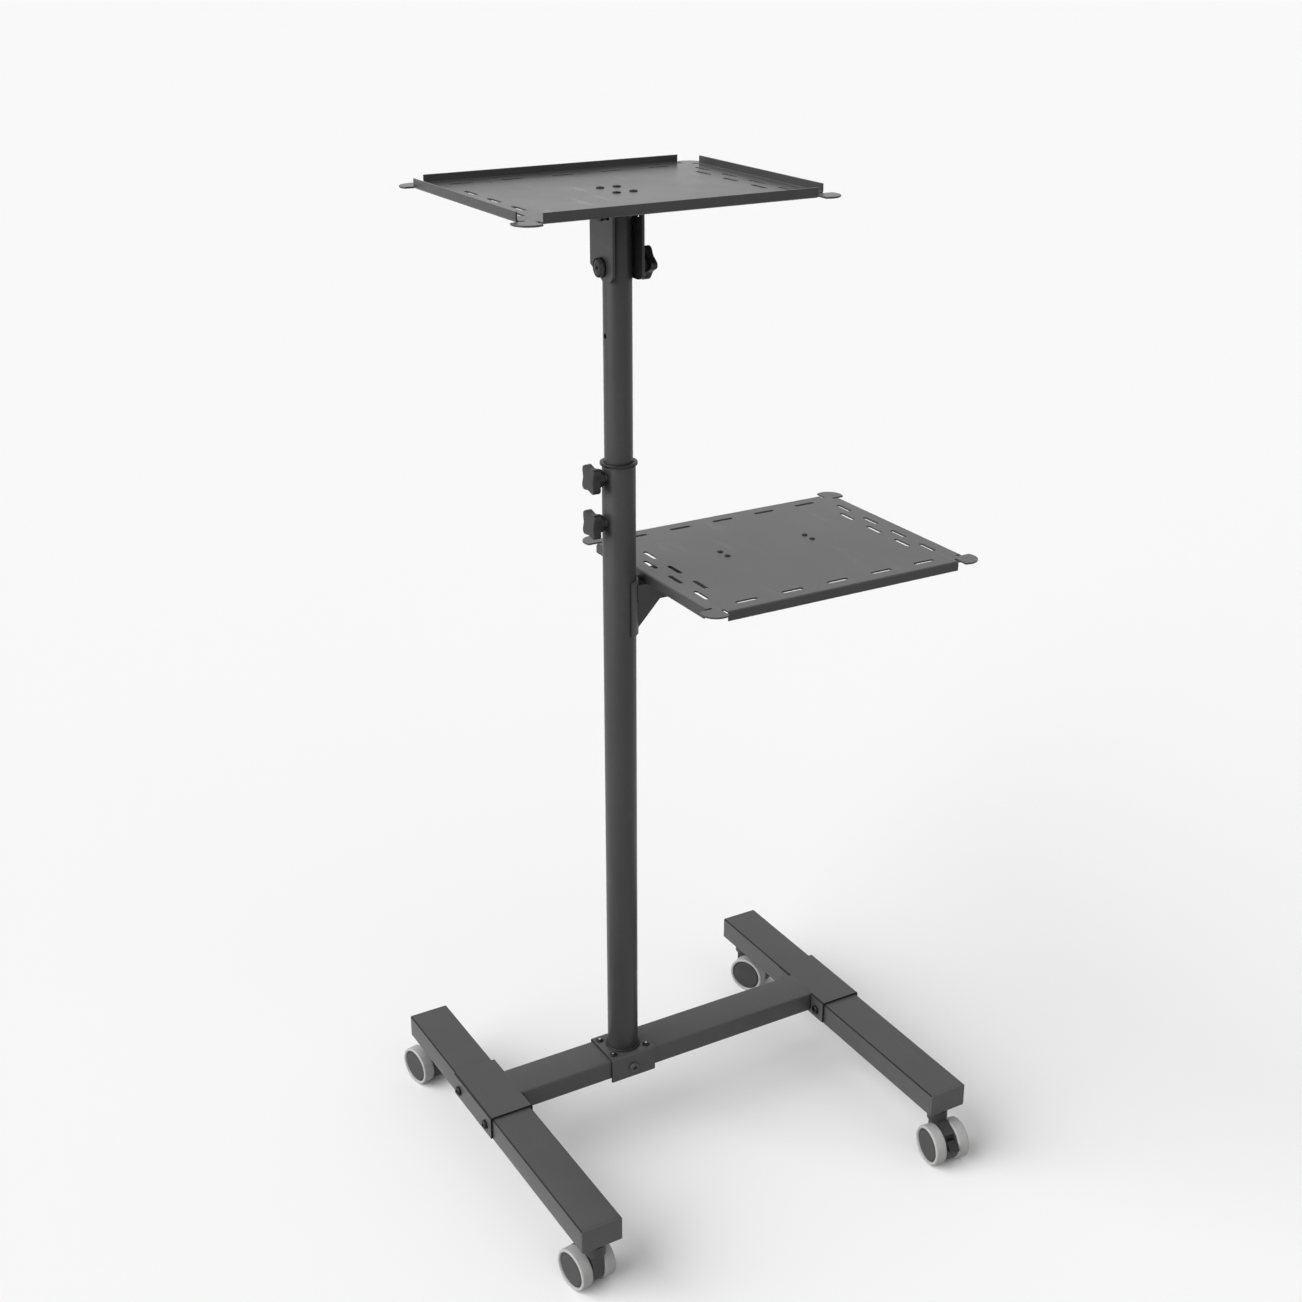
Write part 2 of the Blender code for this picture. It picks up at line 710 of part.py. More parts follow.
def make_tilt_bracket(parent):
    """A U-shaped head over the mast's top: two ears, sloped at the rear, with a pivot hole and a slot."""
    top = pivot_to_tray - fit_gap
    bm = bmesh.new()
    outline = channel_outline(2 * ear_face, head_below_pivot + top, head_wall, head_bend)
    add_prism(bm, [outline], head_length, Matrix.Translation((0, 0, top)) @ along_y)
    tips = [edge for edge in bm.edges
            if all(abs(corner.co.z + head_below_pivot) < fit_gap for corner in edge.verts)
            and max(corner.co.y for corner in edge.verts) < 0]
    bmesh.ops.bevel(bm, geom=tips, offset=head_corner, offset_type="OFFSET", segments=corner_steps,
                    profile=0.5, affect="EDGES", material=-1)
    bracket = finish("tilt_bracket", bm, powder_coat(), parent)
    holes = bmesh.new()
    reach = ear_face + cut_overrun
    add_rod(holes, pivot_bolt_radius + bolt_slack, -reach, reach, x_axis)
    add_prism(holes, [stop_slot()], 2 * reach, along_x)
    rear = head_length / 2 + cut_overrun
    low = -head_below_pivot - cut_overrun
    slope = head_below_pivot / head_rear_cut
    start = (rear, cut_overrun * slope)
    add_prism(holes, [[start, (start[0] + (low - start[1]) / slope, low), (rear, low)]], 2 * reach, along_x)
    for x, y in head_screw_places():
        add_rod(holes, tray_screw_radius + bolt_slack, top - head_wall - cut_overrun, top + cut_overrun,
                Matrix.Translation((x, y, 0)))
    cut(bracket, "tilt_bracket_holes", holes)


def make_head_bolts(parent):
    bm = bmesh.new()
    bearing = ear_face + fit_gap
    end = tilt_knob_x + knob_socket_depth + stud_bite
    profile = bolt_profile(pivot_bolt_radius, bearing + end, pivot_head_radius, pivot_head_height, domed=True)
    at = Matrix.Translation((-bearing, 0, 0))
    add_turned(bm, profile, bolt_steps + 4, pivot_frame @ at @ minus_x_axis)
    finish("pivot_bolt", bm, black_steel(), parent)
    bm = bmesh.new()
    raised = Matrix.Translation((0, 0, stop_radius_from_pivot))
    top = bearing + stop_head_height
    half = [(stop_bolt_radius, bearing), (stop_head_radius, bearing), (stop_head_radius, top), (0, top)]
    other_half = [(radius, -height) for radius, height in reversed(half)]
    add_turned(bm, other_half + half, bolt_steps, pivot_frame @ raised @ x_axis)
    finish("tilt_stop_bolt", bm, black_steel(), parent)
    bm = bmesh.new()
    bore = pivot_bolt_radius + bolt_slack
    end = bearing + tilt_spacer_length
    ring = [(bore, bearing), (tilt_spacer_radius, bearing), (tilt_spacer_radius, end), (bore, end)]
    add_turned(bm, ring, bolt_steps + 4, pivot_frame @ x_axis)
    finish("tilt_spacer", bm, black_plastic(), parent)


def corner_outline():
    """The pan's outline round its corner at +x +y, from the side lip's end to the rear lip's end."""
    centre = (tray_length / 2 + lobe_reach - lobe_radius, tray_depth / 2 + lobe_reach - lobe_radius)
    lobe = arc(centre, lobe_radius, -lobe_wrap, math.pi / 2 + lobe_wrap, 2 * corner_steps)
    fold = (tray_length / 2 - tray_bend, tray_depth / 2 - tray_bend)
    side_end = lobe[0][1] - relief_width
    rear_end = lobe[-1][0] - relief_width
    outline = [(fold[0], side_end), (fold[0] - relief_depth, side_end), (fold[0] - relief_depth, lobe[0][1])]
    outline += lobe
    notch = fold[1] - relief_depth
    return outline + [(lobe[-1][0], notch), (rear_end, notch), (rear_end, fold[1])]


def slot_outline(centre, along_depth):
    half = slot_width / 2
    straight = slot_length / 2 - half
    quarter = math.pi / 2
    ends = arc((straight, 0), half, -quarter, quarter, slot_steps)
    ends += arc((-straight, 0), half, quarter, 3 * quarter, slot_steps)
    if along_depth:
        return [(centre[0] - v, centre[1] + u) for u, v in ends]
    return [(centre[0] + u, centre[1] + v) for u, v in ends]


def slot_outlines():
    slots = []
    for side in (-1, 1):
        row = side * (tray_depth / 2 - slot_inset)
        for place in range(slot_row_count):
            across = (place - (slot_row_count - 1) / 2) * slot_row_pitch
            slots.append(slot_outline((across, row), False))
        for column, count in ((tray_length / 2 - slot_inset, outer_slot_count),
                              (tray_length / 2 - slot_inner_inset, inner_slot_count)):
            for place in range(count):
                along = (place - (count - 1) / 2) * slot_column_pitch
                slots.append(slot_outline((side * column, along), True))
    return slots


def make_tray(name, screw_places, parent, at, flip):
    """A folded pan: a slotted floor, four lips with relief notches, and a rounded lobe past each corner."""
    quarter_turn = corner_outline()
    mirrored = [(-x, y) for x, y in reversed(quarter_turn)]
    outline = quarter_turn + mirrored
    outline += [(-x, -y) for x, y in outline]
    holes = [circle(place, tray_screw_radius + bolt_slack, bolt_steps - 4) for place in screw_places]
    bm = bmesh.new()
    edges = []
    for loop in [outline, *slot_outlines(), *holes]:
        edges += add_outline(bm, loop, Matrix())
    bmesh.ops.triangle_fill(bm, edges=edges, use_beauty=True)
    bend = arc((0, tray_bend), tray_bend, -math.pi / 2, 0, bend_steps) + [(tray_bend, tray_lip)]
    side_end = quarter_turn[0][1]
    rear_end = quarter_turn[-1][0]
    folds = ((tray_length / 2, side_end, 0), (tray_depth / 2, rear_end, 1),
             (tray_length / 2, side_end, 2), (tray_depth / 2, rear_end, 3))
    for reach, end, turns in folds:
        turn = Matrix.Rotation(turns * math.pi / 2, 4, "Z")
        rows = [[bm.verts.new(turn @ Vector((reach - tray_bend + out, y, up))) for y in (-end, end)]
                for out, up in bend]
        for low, high in zip(rows, rows[1:]):
            bm.faces.new((low[0], low[1], high[1], high[0]))
    bmesh.ops.remove_doubles(bm, verts=bm.verts, dist=joined_within)
    bmesh.ops.recalc_face_normals(bm, faces=bm.faces)
    if max(bm.faces, key=lambda face: face.calc_area()).normal.z > 0:
        bmesh.ops.reverse_faces(bm, faces=bm.faces)
    mesh = bpy.data.meshes.new(name)
    bm.to_mesh(mesh)
    bm.free()
    mesh.shade_smooth()
    mesh.set_sharp_from_angle(angle=sharp_angle)
    mesh.materials.append(powder_coat())
    tray = place(name, mesh, parent, at)
    tray.rotation_euler = (math.pi if flip else 0, 0, 0)
    sheet = tray.modifiers.new("sheet", "SOLIDIFY")
    sheet.thickness = tray_wall
    sheet.offset = -1
    sheet.use_even_offset = True


def make_saddle(parent):
    """The shell round the mast that carries the arm, with two gussets welded up inside the arm's flanges."""
    outer = arc((0, 0), saddle_face, -saddle_half_angle, saddle_half_angle, 2 * corner_steps)
    inner = arc((0, 0), saddle_face - saddle_wall, saddle_half_angle, -saddle_half_angle, 2 * corner_steps)
    bm = bmesh.new()
    middle = Matrix.Translation((0, 0, saddle_bottom + saddle_height / 2))
    add_prism(bm, [outer + inner], saddle_height, middle)
    saddle = finish("tray_saddle", bm, powder_coat(), parent)
    outside = arm_width / 2 - arm_wall - fit_gap
    inside = outside - gusset_thickness
    root = math.sqrt(saddle_face ** 2 - outside ** 2) - saddle_wall / 2
    end = root + gusset_toe + gusset_run
    outline = [(root, gusset_bottom), (root + gusset_toe, gusset_bottom), (end, arm_bottom),
               (end, arm_bottom + gusset_lap), (root, arm_bottom + gusset_lap)]
    gussets = bmesh.new()
    for side in (-1, 1):
        middle = Matrix.Translation((0, side * (inside + outside) / 2, 0))
        add_prism(gussets, [outline], gusset_thickness, middle @ along_y)
    unite(saddle, "tray_saddle_gussets", gussets)


def make_arm(parent):
    """The channel under the lower tray, notched where the tray's lip crosses it."""
    top = laptop_tray_top - tray_wall - fit_gap
    root = lower_tube_radius - arm_width / 4
    lip_face = laptop_tray_x - tray_length / 2
    bm = bmesh.new()
    outline = channel_outline(arm_width, top - arm_bottom, arm_wall, arm_bend)
    middle = Matrix.Translation(((root + arm_end) / 2, 0, top))
    add_prism(bm, [outline], arm_end - root, middle @ along_x)
    arm = finish("tray_arm", bm, powder_coat(), parent)
    seat = bmesh.new()
    add_rod(seat, saddle_face + fit_gap, arm_bottom - cut_overrun, top + cut_overrun, Matrix(), round_steps)
    cut(arm, "tray_arm_seat", seat)
    notch = bmesh.new()
    lip_end = laptop_tray_top - tray_lip - fit_gap
    add_box(notch, (0, -arm_width, lip_end), (lip_face + arm_notch_length, arm_width, top + cut_overrun))
    for x, y in arm_screw_places():
        spot = Matrix.Translation((x, y, top))
        add_rod(notch, tray_screw_radius + bolt_slack, -arm_wall - cut_overrun, cut_overrun, spot)
    cut(arm, "tray_arm_notch", notch)


def caster_plate_mesh():
    """A fixed plate with its kingpin up into the leg and a pivot down into the hood."""
    plate_top = caster_height - fit_gap
    plate_low = plate_top - caster_plate_thickness
    race_low = plate_low - raceway_height
    profile = [(0, race_low - pivot_reach), (kingpin_radius, race_low - pivot_reach),
               (kingpin_radius, race_low), (raceway_radius, race_low), (raceway_radius, plate_low),
               (caster_plate_radius, plate_low), (caster_plate_radius, plate_top),
               (kingpin_radius, plate_top), (kingpin_radius, plate_top + kingpin_reach),
               (0, plate_top + kingpin_reach)]
    bm = bmesh.new()
    add_turned(bm, profile, bolt_steps + 2, Matrix())
    return bm


def make_hood(name, swivel, braked):
    """The moulded body between a caster's wheels, with its swivel head and, on a braked one, a pocket."""
    centre = (caster_trail, wheel_radius)
    neck = swivel_head_radius - fit_gap
    head_low = 2 * wheel_radius + wheel_side_gap
    head_top = caster_height - caster_plate_thickness - raceway_height - 2 * fit_gap
    front = centre[0] - hood_radius
    outline = arc(centre, hood_radius, math.pi, math.tau + hood_wrap, 4 * corner_steps)
    outline += [(neck, head_low + fit_gap), (front, head_low + fit_gap)]
    bm = bmesh.new()
    add_slab(bm, outline, -hood_width / 2, hood_width / 2, along_x)
    hood = finish(name, bm, grey_plastic(), swivel)
    head = bmesh.new()
    add_rod(head, swivel_head_radius, head_low, head_top, Matrix(), 2 * bolt_steps)
    unite(hood, name + "_head", head)
    bores = bmesh.new()
    reach = hood_width / 2 + cut_overrun
    add_rod(bores, axle_radius + fit_gap, -reach, reach, Matrix.Translation((0, *centre)) @ x_axis)
    depth = pivot_reach + fit_gap
    add_rod(bores, kingpin_radius + fit_gap, head_top - depth, head_top + cut_overrun, Matrix())
    cut(hood, name + "_bores", bores)
    if braked:
        cut_pedal_pocket(hood, name)
    return hood


def cut_pedal_pocket(hood, name):
    pivot = (caster_trail + pedal_pivot_out, wheel_radius + pedal_pivot_rise)
    half = pedal_width / 2 + pedal_side_gap
    inner = pivot[0] - pedal_eye_radius - pedal_pocket_depth
    outer = pivot[0] + pedal_length
    fall = pedal_length * math.sin(pedal_slope) + pedal_tip_radius
    pocket = bmesh.new()
    add_box(pocket, (-half, inner, pivot[1] - fall), (half, outer, pivot[1] + pedal_length))
    cut(hood, name + "_pocket", pocket)
    pins = bmesh.new()
    reach = half + pedal_pin_bite + fit_gap
    add_rod(pins, pedal_pin_radius + fit_gap, -reach, reach, Matrix.Translation((0, *pivot)) @ x_axis, 8)
    cut(hood, name + "_pin_holes", pins)


def make_pedal(name, swivel):
    at = (0, caster_trail + pedal_pivot_out, wheel_radius + pedal_pivot_rise)
    bm = bmesh.new()
    distance = pedal_length - pedal_tip_radius
    outline = teardrop(pedal_eye_radius, pedal_tip_radius, distance, -pedal_slope)
    add_slab(bm, outline, -pedal_width / 2, pedal_width / 2, along_x)
    pedal = finish(name, bm, black_plastic(), swivel, at)
    pins = bmesh.new()
    reach = pedal_width / 2 + pedal_side_gap + pedal_pin_bite
    add_rod(pins, pedal_pin_radius, -reach, reach, x_axis, 8)
    unite(pedal, name + "_pins", pins)


def tyre_mesh():
    low = hood_width / 2 + wheel_side_gap
    high = low + wheel_width
    inner = wheel_radius - tyre_wall
    shoulder = wheel_radius - tyre_round
    profile = [(inner, low), (shoulder, low), (wheel_radius, low + tyre_round),
               (wheel_radius, high - tyre_round), (shoulder, high), (inner, high)]
    bm = bmesh.new()
    add_turned(bm, profile, wheel_steps, x_axis)
    return bm


def hub_mesh():
    """A disc with a groove round its rim and a blind bore for the axle."""
    low = hood_width / 2 + wheel_side_gap
    face = low + wheel_width - hub_recess
    outer = wheel_radius - tyre_wall - fit_gap
    bore = axle_radius + fit_gap
    end = low + axle_bite + axle_end_gap
    rim = outer - hub_groove_width
    profile = [(0, end), (bore, end), (bore, low), (outer, low), (outer, face - hub_groove_depth),
               (rim, face - hub_groove_depth), (rim, face), (0, face)]
    bm = bmesh.new()
    add_turned(bm, profile, hub_steps, x_axis)
    return bm


def make_copy(shared, looks, kind, name, parent, at):
    """The first copy turns the bmesh into a mesh, which the others share."""
    if isinstance(shared[kind], bmesh.types.BMesh):
        made = finish(kind + name, shared[kind], looks[kind], parent, at)
        shared[kind] = made.data
        return made
    return place(kind + name, shared[kind], parent, at)


def make_casters(root):
    """Four casters whose plates, tyres and hubs share their meshes."""
    shared = {"caster_plate_": caster_plate_mesh(), "tyre_": tyre_mesh(), "hub_": hub_mesh()}
    looks = {"caster_plate_": black_steel(), "tyre_": tyre_rubber(), "hub_": grey_plastic()}
    for corner, (x, y, heading) in caster_places.items():
        make_copy(shared, looks, "caster_plate_", corner, root, (x, y, 0))
        swivel = empty("swivel_" + corner, root, (x, y, 0), heading)
        braked = corner.startswith("front")
        make_hood("caster_hood_" + corner, swivel, braked)
        if braked:
            make_pedal("brake_pedal_" + corner, swivel)
        bm = bmesh.new()
        reach = hood_width / 2 + wheel_side_gap + axle_bite
        add_rod(bm, axle_radius, -reach, reach, x_axis)
        centre = (0, caster_trail, wheel_radius)
        finish("caster_axle_" + corner, bm, steel(), swivel, centre)
        for side, turn in (("a", 0.0), ("b", math.pi)):
            for kind in ("tyre_", "hub_"):
                make_copy(shared, looks, kind, corner + "_" + side, swivel, centre).rotation_euler.z = turn


def centre_on_floor(root):
    """Moves the whole stand so that the middle of its box's underside is on the origin."""
    bpy.context.view_layer.update()
    shapes = bpy.context.evaluated_depsgraph_get()
    corners = []
    for item in bpy.data.objects:
        if item.type == "MESH" and not item.hide_render:
            shape = item.evaluated_get(shapes)
            corners += [shape.matrix_world @ vertex.co for vertex in shape.data.vertices]
    for axis in (0, 1):
        values = [corner[axis] for corner in corners]
        root.location[axis] = -(min(values) + max(values)) / 2
    root.location.z = -min(corner.z for corner in corners)


foot_bolt_z = foot_top - foot_bolt_drop
knob_heights = (height_knob_top, height_knob_top - height_knob_pitch)
ear_face = upper_tube_radius + fit_gap + head_wall
pivot_frame = Matrix.Translation((0, 0, pivot_height))
tilt_knob_x = ear_face + tilt_spacer_length + 2 * fit_gap
saddle_face = lower_tube_radius + fit_gap + saddle_wall
caster_places = {
    "front_left": (-left_leg_offset, front_caster_inset - leg_front_reach, front_left_heading),
    "front_right": (right_leg_offset, front_caster_inset - leg_front_reach, front_right_heading),
    "rear_left": (-left_leg_offset, leg_rear_reach - rear_caster_inset, rear_left_heading),
    "rear_right": (right_leg_offset, leg_rear_reach - rear_caster_inset, rear_right_heading),
}


def main():
    clear_scene()
    root = empty("stand")
    for side, x in leg_places.items():
        make_leg("leg_" + side, x, root)
        make_sleeve("sleeve_" + side, x, root)
    make_end_caps(root)
    make_sleeve_bolts(root)
    make_crossbeam(root)
    make_foot(root)
    make_lower_tube(root)
    make_collar(root)
    make_height_knob("upper", knob_heights[0], root)
    make_height_knob("lower", knob_heights[1], root)
    make_upper_tube(root)
    make_head_bolts(root)
    make_knob("tilt_knob", root, (tilt_knob_x, 0, pivot_height), x_axis, tilt_knob_turn)
    head = empty("tilt_pivot", root, (0, 0, pivot_height))
    make_tilt_bracket(head)
    make_tray("projector_tray", head_screw_places(), head, (0, 0, pivot_to_tray), False)
    make_saddle(root)
    make_arm(root)
    turned_over = [(x - laptop_tray_x, laptop_tray_y - y) for x, y in arm_screw_places()]
    make_tray("laptop_tray", turned_over, root, (laptop_tray_x, laptop_tray_y, laptop_tray_top), True)
    make_casters(root)
    centre_on_floor(root)


main()
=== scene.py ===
"""A wheeled projector stand: powder-coated tube base, clamped telescopic mast, two folded steel
trays and four twin-wheel casters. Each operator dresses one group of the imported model's nodes."""

import json
import math

import bmesh
import bpy
from bpy.props import FloatProperty, FloatVectorProperty, IntProperty, PointerProperty
from mathutils import Matrix, Vector

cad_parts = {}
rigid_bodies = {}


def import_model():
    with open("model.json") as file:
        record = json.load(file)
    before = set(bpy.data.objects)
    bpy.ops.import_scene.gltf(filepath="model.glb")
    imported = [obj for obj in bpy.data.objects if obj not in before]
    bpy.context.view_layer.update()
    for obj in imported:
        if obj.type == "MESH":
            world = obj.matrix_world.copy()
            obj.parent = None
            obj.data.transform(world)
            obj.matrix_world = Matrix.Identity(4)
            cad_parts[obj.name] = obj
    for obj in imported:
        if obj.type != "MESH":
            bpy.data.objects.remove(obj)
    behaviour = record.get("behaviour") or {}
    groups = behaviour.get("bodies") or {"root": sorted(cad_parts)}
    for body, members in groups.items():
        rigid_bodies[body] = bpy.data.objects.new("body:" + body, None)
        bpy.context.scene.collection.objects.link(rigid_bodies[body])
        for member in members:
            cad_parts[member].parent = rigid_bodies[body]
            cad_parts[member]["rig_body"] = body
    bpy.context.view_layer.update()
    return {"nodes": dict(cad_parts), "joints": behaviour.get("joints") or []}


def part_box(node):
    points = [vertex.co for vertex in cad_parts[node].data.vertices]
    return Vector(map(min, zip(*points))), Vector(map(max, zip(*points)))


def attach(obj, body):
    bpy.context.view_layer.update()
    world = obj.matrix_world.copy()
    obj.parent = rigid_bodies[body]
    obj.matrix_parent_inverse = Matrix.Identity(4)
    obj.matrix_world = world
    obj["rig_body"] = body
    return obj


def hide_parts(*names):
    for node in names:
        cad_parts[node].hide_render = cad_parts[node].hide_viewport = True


bl_info = {
    "name": "Projector stand",
    "version": (1, 0, 0),
    "blender": (4, 5, 0),
    "location": "3D View > Sidebar > Stand",
    "description": "Builds the finished pieces of a wheeled projector stand and its studio",
    "category": "Object",
}

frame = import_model()
joints = {joint["name"]: joint for joint in frame["joints"]}
corners = ("front_left", "front_right", "rear_left", "rear_right")
around = ((-1, -1), (1, -1), (1, 1), (-1, 1))
lower_radius, upper_radius = 0.019, 0.016
X, Y = 0, 1

# What turns a shape that is built along Z to face each way.
facing = {
    "x": Matrix.Rotation(math.radians(90), 4, "Y"),
    "-x": Matrix.Rotation(math.radians(-90), 4, "Y"),
    "y": Matrix.Rotation(math.radians(-90), 4, "X"),
    "-y": Matrix.Rotation(math.radians(90), 4, "X"),
}


class Field:
    """An output socket that reads as a number in Python expressions."""

    def __init__(self, finish, socket):
        self.finish = finish
        self.socket = socket

    def math(self, operation, first, second):
        settings = {"operation": operation}
        return self.finish.node("ShaderNodeMath", settings, {0: first, 1: second})

    def __add__(self, other):
        return self.math("ADD", self, other)

    def __radd__(self, other):
        return self.math("ADD", other, self)

    def __sub__(self, other):
        return self.math("SUBTRACT", self, other)

    def __rsub__(self, other):
        return self.math("SUBTRACT", other, self)

    def __mul__(self, other):
        return self.math("MULTIPLY", self, other)

    def __rmul__(self, other):
        return self.math("MULTIPLY", other, self)


class Finish:
    """A node tree and the one way that its nodes are made."""

    def __init__(self, tree):
        self.tree = tree

    def node(self, kind, settings=None, inputs=None, output=0):
        """Makes a node, sets its settings, then feeds its sockets, and returns an output."""
        made = self.tree.nodes.new(kind)
        for name, value in (settings or {}).items():
            if name == "stops":
                for stop, (position, grey) in zip(made.color_ramp.elements, value):
                    stop.position = position
                    stop.color = (grey, grey, grey, 1)
            else:
                setattr(made, name, value)
        for name, value in (inputs or {}).items():
            self.feed(made.inputs[name], value)
        return Field(self, made.outputs[output])

    def feed(self, socket, value):
        """Links a field to a socket, or sets the socket to a plain value."""
        if isinstance(value, Field):
            self.tree.links.new(value.socket, socket)
        elif isinstance(value, tuple) and socket.type == "RGBA":
            socket.default_value = (*value, 1)
        else:
            socket.default_value = value

    def dress(self, shader, **sockets):
        """Feeds the sockets of a shader, with underlines for the spaces in their names."""
        for name, value in sockets.items():
            self.feed(shader.inputs[name.replace("_", " ")], value)

    def noise(self, scale, detail, stretch=(1.0, 1.0, 1.0)):
        """Noise from 0 to 1 that sits on the object, with so many waves to the metre."""
        place = self.node("ShaderNodeTexCoord", output="Object")
        spot = self.node("ShaderNodeMapping", None, {"Vector": place, "Scale": stretch})
        inputs = {"Vector": spot, "Scale": scale, "Detail": detail}
        return self.node("ShaderNodeTexNoise", None, inputs)

    def patches(self, scale, detail, low, high, stretch=(1.0, 1.0, 1.0)):
        """Noise whose middle, from low to high, is widened to run from 0 to 1."""
        waves = self.noise(scale, detail, stretch)
        settings = {"stops": ((low, 0.0), (high, 1.0))}
        return self.node("ShaderNodeValToRGB", settings, {"Fac": waves})

    def mixed(self, share, first, second):
        settings = {"data_type": "RGBA"}
        inputs = {"Factor": share, "A": first, "B": second}
        return self.node("ShaderNodeMix", settings, inputs, "Result")

    def seen(self):
        """One on the rays that show the backdrop: from the camera, off gloss or through glass."""
        camera = self.node("ShaderNodeLightPath", output="Is Camera Ray")
        glossy = self.node("ShaderNodeLightPath", output="Is Glossy Ray")
        through = self.node("ShaderNodeLightPath", output="Is Transmission Ray")
        settings = {"operation": "ADD", "use_clamp": True}
        return self.node("ShaderNodeMath", settings, {0: camera + glossy, 1: through})

    def bump(self, height, depth):
        inputs = {"Height": height, "Distance": depth, "Strength": 1.0}
        return self.node("ShaderNodeBump", None, inputs)


def shade(colour, factor):
    """A colour made lighter or darker by a plain factor."""
    return tuple(min(part * factor, 1.0) for part in colour)


def surface(name, colour, roughness, metallic=0.0, gloss=0.5):
    """Starts a named material with plain values, and returns it with its finish and shader."""
    material = bpy.data.materials.new(name)
    material.use_nodes = True
    finish = Finish(material.node_tree)
    shader = material.node_tree.nodes["Principled BSDF"]
    finish.dress(shader, Base_Color=colour, Roughness=roughness, Metallic=metallic,
                 Specular_IOR_Level=gloss)
    return material, finish, shader


def powder_coat(name, looks, colour, roughness, gloss):
    """Satin polyester powder: a fine orange peel, small specks, and faint rub marks."""
    material, finish, shader = surface(name, colour, roughness, gloss=gloss)
    cloud = finish.patches(14.0, 4.0, 0.38, 0.62)
    speck = finish.patches(1500.0, 1.0, 0.60, 0.72)
    rubbed_and_lit = finish.patches(60.0, 6.0, 0.60, 0.74, (1.0, 0.15, 1.0))
    body = finish.mixed(cloud, shade(colour, 0.94), shade(colour, 1.06))
    body = finish.mixed(speck * 0.35, body, shade(colour, 1.7))
    body = finish.mixed(rubbed_and_lit * 0.18, body, shade(colour, 1.5))
    peel = finish.noise(looks.grain, 2.0) + finish.noise(looks.grain * 0.3, 1.0)
    finish.dress(shader, Base_Color=body, Roughness=roughness + cloud * 0.05 - rubbed_and_lit * 0.08,
                 Normal=finish.bump(peel, looks.grain_depth))
    return material


def weld_coat(name, colour, roughness):
    """Powder over a weld bead, glossier in its ripples, darkened as painted shade where parts meet.
    """
    material, finish, shader = surface(name, colour, roughness, gloss=0.12)
    cloud = finish.patches(220.0, 3.0, 0.35, 0.65)
    body = finish.mixed(cloud, shade(colour, 0.8), shade(colour, 1.15))
    finish.dress(shader, Base_Color=body, Roughness=roughness - 0.05 + cloud * 0.1,
                 Normal=finish.bump(finish.noise(420.0, 2.0), 0.0003))
    return material


def moulded(name, colour, roughness, grain_depth, scuffs, gloss=0.5):
    """Moulded plastic with a spark-eroded grain, and pale scuffs where it is handled."""
    material, finish, shader = surface(name, colour, roughness, gloss=gloss)
    cloud = finish.patches(45.0, 3.0, 0.35, 0.65)
    scuff = finish.patches(160.0, 8.0, 0.60, 0.72, (1.0, 1.0, 0.3))
    body = finish.mixed(cloud, shade(colour, 0.9), shade(colour, 1.1))
    body = finish.mixed(scuff * scuffs, body, shade(colour, 2.4))
    finish.dress(shader, Base_Color=body, Roughness=roughness + cloud * 0.06 + scuff * 0.1,
                 Normal=finish.bump(finish.noise(2400.0, 2.0), grain_depth))
    return material


def plain_metal(name, colour, roughness, metallic, gloss=0.5):
    """Plated or blackened steel with fine turning marks and small stains."""
    material, finish, shader = surface(name, colour, roughness, metallic, gloss)
    cloud = finish.patches(300.0, 4.0, 0.35, 0.65)
    body = finish.mixed(cloud, shade(colour, 0.8), shade(colour, 1.2))
    marks = finish.noise(2600.0, 3.0, (1.0, 1.0, 4.0))
    finish.dress(shader, Base_Color=body, Roughness=roughness - 0.04 + cloud * 0.12,
                 Normal=finish.bump(marks, 0.00002))
    return material


def tyre_rubber(name, colour, roughness):
    """Pale grey non-marking rubber, with a little dirt rolled into it."""
    material, finish, shader = surface(name, colour, roughness)
    cloud = finish.patches(120.0, 5.0, 0.35, 0.70)
    dirt = finish.patches(700.0, 6.0, 0.58, 0.75)
    body = finish.mixed(cloud, shade(colour, 0.93), shade(colour, 1.05))
    body = finish.mixed(dirt * 0.25, body, shade(colour, 0.55))
    finish.dress(shader, Base_Color=body, Roughness=roughness - 0.05 + cloud * 0.12,
                 Normal=finish.bump(finish.noise(1800.0, 3.0), 0.00004))
    return material


looks_made = {}


